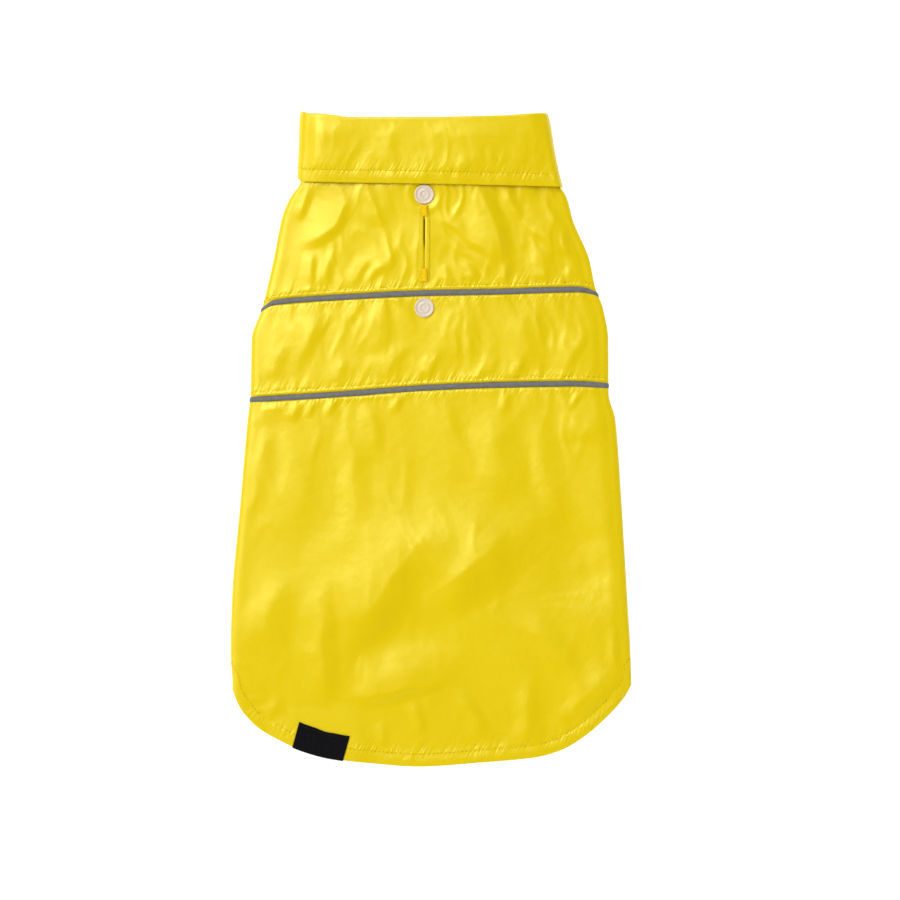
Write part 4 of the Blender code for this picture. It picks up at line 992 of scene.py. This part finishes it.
collar.data.materials.append(rain_cloth("collar_cloth", from_bottom=17.6))
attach(collar, "root")
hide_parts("collar")

# ------------------------------------------------------------------------------------------------
# Pipings: two round cords, each in a bias strip of grey reflective tape with a fine glass-bead
# coat. They are caught in the seams across the back and run under to the side seams.
# ------------------------------------------------------------------------------------------------

PIPING_PROUD = 0.7  # how far they stand out of the panels beside them
PIPING_SUNK = 1.2  # how far they reach down between those panels
PIPING_SIDES = 14


def grey_tape(name):
    """Grey bias tape with a dull coat of tiny beads, a little rubbed and mottled."""
    material, shader, place = new_finish(name, IOR=1.5, Specular_IOR_Level=0.35)
    beads = place.node("TexVoronoi", {}, {"Vector": place, "Scale": 3200.0})
    rubbed = mottled(place, 420.0, 4.0)
    shade = place.node(
        "ValToRGB",
        {"stops": [(0.3, (0.125, 0.126, 0.135, 1.0)), (0.7, (0.165, 0.166, 0.175, 1.0))]},
        {0: rubbed},
    )
    bump = bumped(rubbed * 0.1 - beads * 0.05)
    feed(shader, Base_Color=shade, Roughness=0.48 + rubbed * 0.2, Normal=bump)
    return material


def close_ends():
    """Fills what is still open of the mesh in edit mode, and turns its faces outward."""
    bpy.ops.mesh.select_all(action="DESELECT")
    bpy.ops.mesh.select_non_manifold()
    bpy.ops.mesh.edge_face_add()
    bpy.ops.mesh.select_all(action="SELECT")
    bpy.ops.mesh.normals_make_consistent(inside=False)


for name, seam, seed in (("upper_piping", upper_seam, 7.5), ("lower_piping", lower_seam, 8.5)):
    c = columns(231)
    middle_y = crossing(seam, c)
    along = laid_out_x(c, middle_y)
    uneven = crumple(along, 0.0 * along, 9.0, seed)
    proud = PIPING_PROUD * share_on_top(c) * (1.0 + 0.2 * uneven)
    middle_depth = 0.5 * (PIPING_SUNK - proud)
    half_depth = 0.5 * (PIPING_SUNK + proud)
    half_width = 0.9 * PIPING_HALF * (1.0 + 0.06 * crumple(along, 0.0 * along, 5.0, seed + 1.0))
    rings = []
    for side in range(PIPING_SIDES + 1):
        angle = 2 * math.pi * side / PIPING_SIDES
        y = middle_y + half_width * math.cos(angle) + 0.12 * uneven
        rings.append(round_the_coat(c, y, lie, middle_depth - half_depth * math.sin(angle)))
    piping = laid_grid(name + "_tape", np.array(rings))
    bpy.ops.object.select_all(action="DESELECT")
    piping.select_set(True)
    bpy.context.view_layer.objects.active = piping
    bpy.ops.object.mode_set(mode="EDIT")
    bpy.ops.mesh.select_all(action="SELECT")
    bpy.ops.mesh.remove_doubles(threshold=0.00001)
    close_ends()
    bpy.ops.object.mode_set(mode="OBJECT")
    piping.data.shade_smooth()
    piping.data.materials.append(grey_tape(name + "_grey"))
    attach(piping, "root")
    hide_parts(name)

# ------------------------------------------------------------------------------------------------
# Leash slot: two narrow folded lips of the shell's cloth round the slit, overcast along their
# outer edges and closed with a dense bar of thread at both ends.
# ------------------------------------------------------------------------------------------------

WELT_TOP = 139.3
WELT_BOTTOM = 95.0
WELT_HALF = 3.1
BESIDE_WELT = 4.0  # from the slit to the cloth beside the welt, whose height the welt follows
THREAD = 0.38  # thickness of the sewing thread


def sewing_thread(name, colour):
    """Lustrous twisted polyester thread, with its fine fibres."""
    material, shader, place = new_finish(name, Roughness=0.55, IOR=1.5, Specular_IOR_Level=0.2)
    fibres = mottled(place, 2600.0, 2.0)
    darker = tuple(0.8 * part for part in colour[:3]) + (1.0,)
    feed(shader, Base_Color=mixed(darker, colour, fibres), Normal=bumped(fibres * 0.06, 0.6))
    return material


def stitch_mesh(length, thickness):
    """One stitch along X: a rounded low-poly rod whose ends dip into the cloth."""
    bpy.ops.mesh.primitive_cylinder_add(
        vertices=6, radius=0.5 * thickness * MM, depth=length * MM, rotation=(0, math.pi / 2, 0)
    )
    stitch = bpy.context.object
    bpy.ops.object.transform_apply(location=False, rotation=True, scale=False)
    built = bmesh.new()
    built.from_mesh(stitch.data)
    lengthwise = [edge for edge in built.edges if edge.calc_length() > 0.9 * length * MM]
    bmesh.ops.subdivide_edges(built, edges=lengthwise, cuts=3)
    for vertex in built.verts:
        t = abs(vertex.co.x) / (0.5 * length * MM)
        vertex.co.y *= 1.0 - 0.45 * t**3
        vertex.co.z = vertex.co.z * (1.0 - 0.45 * t**3) - 0.6 * thickness * MM * t**3
    built.to_mesh(stitch.data)
    built.free()
    mesh = stitch.data
    bpy.data.objects.remove(stitch)
    return mesh


def sewn(name, pattern, places, material):
    """Copies of one stitch joined into a piece, at (x, y, z, heading, tilt, stretch) places."""
    built = bmesh.new()
    for x, y, z, heading, tilt, stretch in places:
        first = len(built.verts)
        built.from_mesh(pattern)
        built.verts.ensure_lookup_table()
        turned = Matrix.Rotation(heading, 4, "Z") @ Matrix.Rotation(-tilt, 4, "Y")
        seat = Matrix.Translation(Vector((x, y, z)) * MM) @ turned @ Matrix.Diagonal((stretch, 1, 1, 1))
        bmesh.ops.transform(built, matrix=seat, verts=built.verts[first:])
    mesh = bpy.data.meshes.new(name)
    built.to_mesh(mesh)
    built.free()
    mesh.shade_smooth()
    mesh.materials.append(material)
    piece = bpy.data.objects.new(name, mesh)
    bpy.context.scene.collection.objects.link(piece)
    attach(piece, "root")


def sewing_run(x, y, z, pitch, length, seed):
    """Stitch places along a polyline in space, evenly pitched and a little unsteady."""
    draw = np.random.default_rng(seed)
    run = np.sqrt(np.diff(x) ** 2 + np.diff(y) ** 2 + np.diff(z) ** 2).cumsum()
    run = np.concatenate(([0.0], run))
    spots = np.arange(0.5 * pitch, run[-1] - 0.5 * pitch, pitch)
    spots = spots + draw.uniform(-0.06, 0.06, len(spots)) * pitch
    places = []
    for spot in spots:
        a = [np.interp(spot - 0.5 * length, run, v) for v in (x, y, z)]
        b = [np.interp(spot + 0.5 * length, run, v) for v in (x, y, z)]
        middle = [np.interp(spot, run, v) for v in (x, y, z)]
        flat_run = math.hypot(b[0] - a[0], b[1] - a[1])
        heading = math.atan2(b[1] - a[1], b[0] - a[0]) + draw.uniform(-0.05, 0.05)
        tilt = math.atan2(b[2] - a[2], flat_run)
        places.append((*middle, heading, tilt, draw.uniform(0.92, 1.05)))
    return places


yellow_thread = sewing_thread("yellow_thread", (0.74, 0.47, 0.001, 1.0))
deep_thread = sewing_thread("deep_thread", (0.95, 0.64, 0.002, 1.0))
# The overcast thread is the slot's golden thread painted lighter: painted light that stands in for the
# light its small stitches lose to shade.
thread_painted_lighter = sewing_thread("thread_painted_lighter", (1.0, 0.84, 0.02, 1.0))
plain_stitch = stitch_mesh(2.0, THREAD)
bar_stitch = stitch_mesh(4.6, 0.55)
edge_stitch = stitch_mesh(1.5, 0.34)

welt_rows = np.linspace(WELT_TOP, WELT_BOTTOM, 91)
welt_material = rain_cloth("welt_cloth")
for way, side_name in ((-1, "left"), (1, "right")):
    # Across a lip: out from the slit's edge to the overcast edge, a low rounded roll.
    steps = np.linspace(0.0, 1.0, 13)[:, None]
    wave = 0.15 * crumple(welt_rows, 0.0 * welt_rows, 4.0, 9.5 + way)
    # The slit gapes in its upper part and its lips touch below.
    gape = 0.34 * ease((133.5 - welt_rows) / 3.0) * ease((welt_rows - 111.0) / 9.0)
    slit_edge = 0.08 + gape + 0.3 * np.abs(wave)
    out = blend(slit_edge, WELT_HALF + wave, steps)
    roll = 0.05 + 0.4 * np.sqrt(np.clip(1.0 - (2 * steps - 1.0) ** 2, 0.0, 1.0))
    # Its folded cloth goes on down through the slit.
    out = np.concatenate((np.stack((slit_edge + 0.15, slit_edge + 0.05)), out))
    roll = np.concatenate((np.full((1, 1), -2.2), np.full((1, 1), -1.0), roll))
    x = CENTRE_X + way * out
    z = neck_height(CENTRE_X + way * BESIDE_WELT + 0.0 * x, 0.0 * x + welt_rows) + roll
    lip_points = np.stack((x, 0.0 * x + welt_rows, z), axis=-1)
    if way < 0:
        lip_points = lip_points[::-1]
    lip = laid_grid("slot_lip_" + side_name, np.swapaxes(lip_points, 0, 1))
    thicken(lip, 0.35)
    lip.data.materials.append(welt_material)
    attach(lip, "root")
    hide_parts("leash_slot_welt")

draw = np.random.default_rng(51)
bar_places = []
for top, bottom in ((WELT_TOP + 0.3, WELT_TOP - 5.6), (WELT_BOTTOM + 7.0, WELT_BOTTOM - 0.3)):
    for y in np.arange(bottom, top, 0.42):
        x = CENTRE_X + draw.uniform(-0.25, 0.25)
        z = float(neck_height(np.array(CENTRE_X + BESIDE_WELT), np.array(y))) + 1.15
        z += draw.uniform(0.0, 0.12)
        bar_places.append((x, y, z, draw.uniform(-0.09, 0.09), 0.0, draw.uniform(0.95, 1.1)))
sewn("slot_bar_tacks", bar_stitch, bar_places, deep_thread)
edge_places = []
for way in (-1, 1):
    for k, y in enumerate(np.arange(WELT_BOTTOM + 1.0, WELT_TOP - 1.0, 0.62)):
        x = CENTRE_X + way * (WELT_HALF - 0.35 + draw.uniform(-0.2, 0.25))
        z = float(neck_height(np.array(CENTRE_X + way * BESIDE_WELT), np.array(y))) + 0.62
        slant = (0.42 if k % 2 else -0.35) + draw.uniform(-0.12, 0.12)
        edge_places.append((x, y, z, slant, -way * 0.35, draw.uniform(0.9, 1.15)))
# These stitches take the thread that is painted lighter against their shade.
sewn("slot_overcast", edge_stitch, edge_places, thread_painted_lighter)

# ------------------------------------------------------------------------------------------------
# Snaps: two moulded caps of cream acetal resin on the centre line, with a raised rim, a dished
# face and a ring round the small well in the middle. Their studs come up through the cloth.
# ------------------------------------------------------------------------------------------------

SNAP_RADIUS = 5.8
SNAP_SIDES = 72
RingStep = namedtuple("RingStep", "radius height")
SNAP_PROFILE = [
    RingStep(0.5, -0.3),
    RingStep(5.5, -0.3),
    RingStep(5.8, 0.0),
    RingStep(5.85, 0.6),
    RingStep(5.7, 1.15),
    RingStep(5.35, 1.45),
    RingStep(5.0, 1.4),
    RingStep(4.7, 1.0),
    RingStep(4.2, 0.8),
    RingStep(3.4, 0.8),
    RingStep(3.1, 1.1),
    RingStep(2.8, 1.3),
    RingStep(2.35, 1.3),
    RingStep(2.05, 1.05),
    RingStep(1.8, 0.7),
    RingStep(1.2, 0.6),
    RingStep(0.95, 0.7),
    RingStep(0.5, 0.75),
]


def cream_resin(name):
    """Warm white moulded resin with a soft gloss and the faint flow marks of its mould."""
    material, shader, place = new_finish(
        name,
        IOR=1.48,
        Subsurface_Weight=0.12,
        Subsurface_Scale=0.0012,
        Subsurface_Radius=(1.0, 0.7, 0.45),
    )
    flow = mottled(place, 260.0, 3.0)
    grain = mottled(place, 2400.0, 2.0)
    feed(
        shader,
        Base_Color=mixed((0.63, 0.52, 0.42, 1.0), (0.735, 0.64, 0.555, 1.0), flow),
        Roughness=0.3 + grain * 0.15,
        Normal=bumped(flow * 0.1 + grain * 0.02, 0.5),
    )
    return material


# One cap is drawn up ring by ring, from its back over the rim to the well, and then copied.
bpy.ops.object.select_all(action="DESELECT")
bpy.ops.mesh.primitive_circle_add(
    vertices=SNAP_SIDES,
    radius=SNAP_PROFILE[0].radius * MM,
    location=(0.0, 0.0, SNAP_PROFILE[0].height * MM),
    fill_type="NOTHING",
)
bpy.ops.object.transform_apply(location=True, rotation=False, scale=False)
cap = bpy.context.object
bpy.ops.object.mode_set(mode="EDIT")
bpy.ops.mesh.select_all(action="SELECT")
for before, after in zip(SNAP_PROFILE, SNAP_PROFILE[1:]):
    bpy.ops.mesh.extrude_region_move(
        TRANSFORM_OT_translate={"value": (0.0, 0.0, (after.height - before.height) * MM)}
    )
    share = after.radius / before.radius
    bpy.ops.transform.resize(
        value=(share, share, 1.0), center_override=(0.0, 0.0, after.height * MM)
    )
bpy.ops.mesh.edge_face_add()
close_ends()
bpy.ops.object.mode_set(mode="OBJECT")
soft = cap.modifiers.new("soft edges", "SUBSURF")
soft.levels = soft.render_levels = 1
bpy.ops.object.modifier_apply(modifier=soft.name)
cap.data.shade_smooth()
cap.data.materials.append(cream_resin("snap_resin"))
for name, snap_y, height_of in (
    ("upper_snap", UPPER_SNAP_Y, neck_height),
    ("lower_snap", LOWER_SNAP_Y, middle_height),
):
    snap = bpy.data.objects.new(name + "_cap", cap.data.copy())
    snap.data.name = snap.name
    bpy.context.scene.collection.objects.link(snap)
    # It sits level on the cloth round its rim and leans the way that does.
    around = np.linspace(0.0, 2 * math.pi, 24, endpoint=False)
    rim_z = height_of(CENTRE_X + SNAP_RADIUS * np.cos(around), snap_y + SNAP_RADIUS * np.sin(around))
    slope_x = 2 * (rim_z * np.cos(around)).mean() / SNAP_RADIUS
    slope_y = 2 * (rim_z * np.sin(around)).mean() / SNAP_RADIUS
    normal = Vector((-slope_x, -slope_y, 1.0)).normalized()
    lean = Vector((0, 0, 1)).rotation_difference(normal).to_matrix().to_4x4()
    snap.data.transform(Matrix.Translation(Vector((CENTRE_X, snap_y, rim_z.mean() - 0.1)) * MM) @ lean)
    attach(snap, "root")
    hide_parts(name)
bpy.data.objects.remove(cap)

# ------------------------------------------------------------------------------------------------
# Hem label: a short bare band of matt black woven tape, folded in half round the tail's hem and
# sewn down through it. It stiffens the cloth under it and keeps a slightly wavy end.
# ------------------------------------------------------------------------------------------------

LABEL_LEFT_X = -83.0
LABEL_LENGTH = 31.5
LABEL_DEPTH = 15.3
LABEL_ANGLE = math.radians(-15.4)
LABEL_TAPE = 0.4
LABEL_WAVE = 0.595  # how uneven its end is


def woven_black(name):
    """Matt black woven tape: ribs across it, finer ones along it, and a slight fluff."""
    material, shader, place = new_finish(name, IOR=1.45, Specular_IOR_Level=0.1)
    across, down = parts_of(place.node("TexCoord", {}, {}, output="UV"))
    ribs = (down * (2 * math.pi / 0.0005)).math("SINE")
    ribs = ribs + (across * (2 * math.pi / 0.0007)).math("SINE") * 0.5
    fluff = mottled(place, 900.0, 3.0)
    feed(
        shader,
        Base_Color=mixed((0.002, 0.002, 0.003, 1.0), (0.008, 0.008, 0.009, 1.0), fluff),
        Roughness=0.75 + fluff * 0.15,
        Normal=bumped(ribs * 0.03 + fluff * 0.06),
    )
    return material


label_in = np.array((-math.sin(LABEL_ANGLE), math.cos(LABEL_ANGLE)))
label_steps = np.linspace(0.0, 1.0, 57)
label_x = LABEL_LEFT_X + LABEL_LENGTH * math.cos(LABEL_ANGLE) * label_steps
label_edge = np.stack((label_x, hem.line(label_x)), axis=-1)
wavy = LABEL_WAVE * crumple(label_steps * 30.0, 0.0 * label_steps, 9.0, 12.5)
# The band's rows: how far in from the hem's edge, and how far over the hem's outer face.
label_rows = [(depth, 0.5) for depth in np.linspace(LABEL_DEPTH, 0.6, 30)]
for angle in np.linspace(0.0, math.pi, 11)[1:-1]:
    label_rows.append((0.6 - 1.15 * math.sin(angle), -0.5 + 1.0 * math.cos(angle)))
label_rows += [(depth, -1.5) for depth in np.linspace(0.6, LABEL_DEPTH, 30)]
label_grid = []
for depth, up in label_rows:
    reach = depth + wavy * (max(depth, 0.0) / LABEL_DEPTH) ** 2
    spot = label_edge + label_in * reach[:, None]
    over = label_edge + label_in * max(depth, 0.6)
    bed = back_height(over[:, 0], over[:, 1])
    lift = np.maximum(bed + up, 0.05 + LABEL_TAPE)
    label_grid.append(np.stack((spot[:, 0], spot[:, 1], lift), axis=-1))
label_points = np.array(label_grid)
label = laid_grid("hem_label_tape", label_points)
thicken(label, LABEL_TAPE)
label.data.materials.append(woven_black("label_black"))
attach(label, "root")
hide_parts("hem_label")

# ------------------------------------------------------------------------------------------------
# Stitching: lockstitch in yellow polyester thread, about ten stitches to the inch, sunk into the
# cloth it draws together, along the hems, above both pipings and down the side seams.
# ------------------------------------------------------------------------------------------------

STITCH_PITCH = 2.5
STITCH_LENGTH = 1.8


def seam_path(seam, away, height_of, reach=0.4):
    """The line of a row of stitches along a seam, over the back and this far round its folds."""
    c = np.linspace(2.0 - reach, 3.0 + reach, 900)
    edge = crossing(seam, c)
    points = round_the_coat(c, edge + away * leaning(c, edge), height_of, -0.05)
    return points.T


for name, seam, away, height_of, seed in (
    ("upper_topstitch", upper_seam, TOPSTITCH_AWAY, neck_height, 61),
    ("lower_topstitch", lower_seam, TOPSTITCH_AWAY, middle_height, 62),
    ("tail_hem_stitch", hem, HEM_WIDTH, back_height, 63),
):
    places = sewing_run(*seam_path(seam, away, height_of), STITCH_PITCH, STITCH_LENGTH, seed)
    sewn(name, plain_stitch, places, yellow_thread)

# The collar's row of stitches, on the fall's outer face.
on_fall = (collar_c > 1.6) & (collar_c < 3.4)
crest_end = STAND_ROWS + CREST_ROWS
fall = collar_points[crest_end : crest_end + FALL_ROWS, on_fall][::-1]
fall_y = (edge_y + HEM_WIDTH)[on_fall]
fall_x = np.array([np.interp(y, fall[:, k, 1], fall[:, k, 0]) for k, y in enumerate(fall_y)])
fall_z = np.array([np.interp(y, fall[:, k, 1], fall[:, k, 2]) for k, y in enumerate(fall_y)])
places = sewing_run(fall_x, fall_y, fall_z + 0.05, STITCH_PITCH, STITCH_LENGTH, 64)
sewn("collar_hem_stitch", plain_stitch, places, yellow_thread)

# On the underside the stitches lie in grooves, clear of what the coat rests on.
side_y = np.linspace(NECK_SEAM_Y - 2.0, BELLY_END_Y + 1.5, 300)
hem_line_y = belly_edge + HEM_WIDTH
hem_line_x = blend(right_side_seam(hem_line_y), left_side_seam(hem_line_y), belly_share)
around = np.linspace(0.0, 2 * math.pi, 121)
ring_x = (0.5 * LEG_HOLE_WIDTH + LEG_HOLE_HEM) * np.cos(around)
ring_y = LEG_HOLE_Y + (0.5 * LEG_HOLE_LENGTH + LEG_HOLE_HEM) * np.sin(around)
for name, first_seed, runs in (
    ("side_seam_stitch", 65, [(left_side_seam(side_y), side_y), (right_side_seam(side_y), side_y)]),
    ("belly_hem_stitch", 67, [(hem_line_x, hem_line_y)]),
    ("leg_hole_stitch", 68, [(ring_x - LEG_HOLE_OUT, ring_y), (ring_x + LEG_HOLE_OUT, ring_y)]),
):
    places = []
    for seed, (x, y) in enumerate(runs, first_seed):
        places += sewing_run(x, y, under_height(y) + 0.24, STITCH_PITCH, STITCH_LENGTH, seed)
    places = [(*place[:4], place[4] + math.pi, place[5]) for place in places]
    sewn(name, plain_stitch, places, yellow_thread)

# The label is sewn down across its end in black.
label_end = label_points[3]
places = sewing_run(label_end[:, 0], label_end[:, 1], label_end[:, 2] + 0.05, 2.0, 1.4, 71)
black_thread = sewing_thread("black_thread", (0.012, 0.012, 0.013, 1.0))
sewn("label_stitch", stitch_mesh(1.6, 0.3), places, black_thread)

# ------------------------------------------------------------------------------------------------
# Studio: a plain white table, one very large soft light from the upper left, four weaker ones
# round the table and a dim, warm surround.
# ------------------------------------------------------------------------------------------------

bpy.ops.mesh.primitive_plane_add(size=6.0, location=(0.0, 0.0, 0.0))
floor = bpy.context.object
floor.name = "floor"
paper, paper_shader, paper_place = new_finish(
    "white_paper",
    Specular_IOR_Level=0.1,
    Emission_Color=(1.0, 1.0, 1.0, 1.0),
    Emission_Strength=0.75,
)
tooth = mottled(paper_place, 500.0, 3.0)
feed(
    paper_shader,
    Base_Color=mixed((0.49, 0.49, 0.49, 1.0), (0.51, 0.51, 0.51, 1.0), tooth),
    Roughness=0.85 + tooth * 0.1,
)
floor.data.materials.append(paper)

surround = bpy.data.worlds.new("surround")
bpy.context.scene.world = surround
surround.use_nodes = True
backdrop = surround.node_tree.nodes["Background"].inputs
backdrop["Color"].default_value = (1.0, 1.0, 0.3, 1.0)
backdrop["Strength"].default_value = 0.04

# The soft key stands upper left and alone is mirrored in the cloth. The fills stand low round the
# table, so that flat cloth keeps its deep colour and only slopes towards the key take its sheen.
Lamp = namedtuple("Lamp", "name bearing elevation distance size watts")
LAMPS = [
    Lamp("key", 135.0, 54.0, 4.6, 3.7, 196.0),
    Lamp("fill_left", 200.0, 24.0, 3.2, 2.4, 42.0),
    Lamp("fill_front", 280.0, 24.0, 3.2, 2.4, 45.0),
    Lamp("fill_right", 350.0, 24.0, 3.2, 2.4, 24.0),
    Lamp("fill_back", 65.0, 24.0, 3.2, 2.4, 31.0),
]
for lamp in LAMPS:
    light = bpy.data.lights.new(lamp.name, "AREA")
    light.shape = "DISK"
    light.size = lamp.size
    light.energy = lamp.watts
    bearing, elevation = math.radians(lamp.bearing), math.radians(lamp.elevation)
    out = Vector((math.cos(bearing), math.sin(bearing), math.tan(elevation))).normalized()
    stand = bpy.data.objects.new(lamp.name, light)
    stand.visible_glossy = lamp.name == "key"
    stand.location = out * lamp.distance
    stand.rotation_euler = out.to_track_quat("Z", "Y").to_euler()
    bpy.context.scene.collection.objects.link(stand)

lens = bpy.data.cameras.new("overhead")
lens.lens = 106.7
lens.sensor_width = 36.0
overhead = bpy.data.objects.new("overhead", lens)
overhead.location = (0.0114, -0.0062, 1.6)
bpy.context.scene.collection.objects.link(overhead)
bpy.context.scene.camera = overhead
bpy.context.scene.view_settings.view_transform = "Standard"
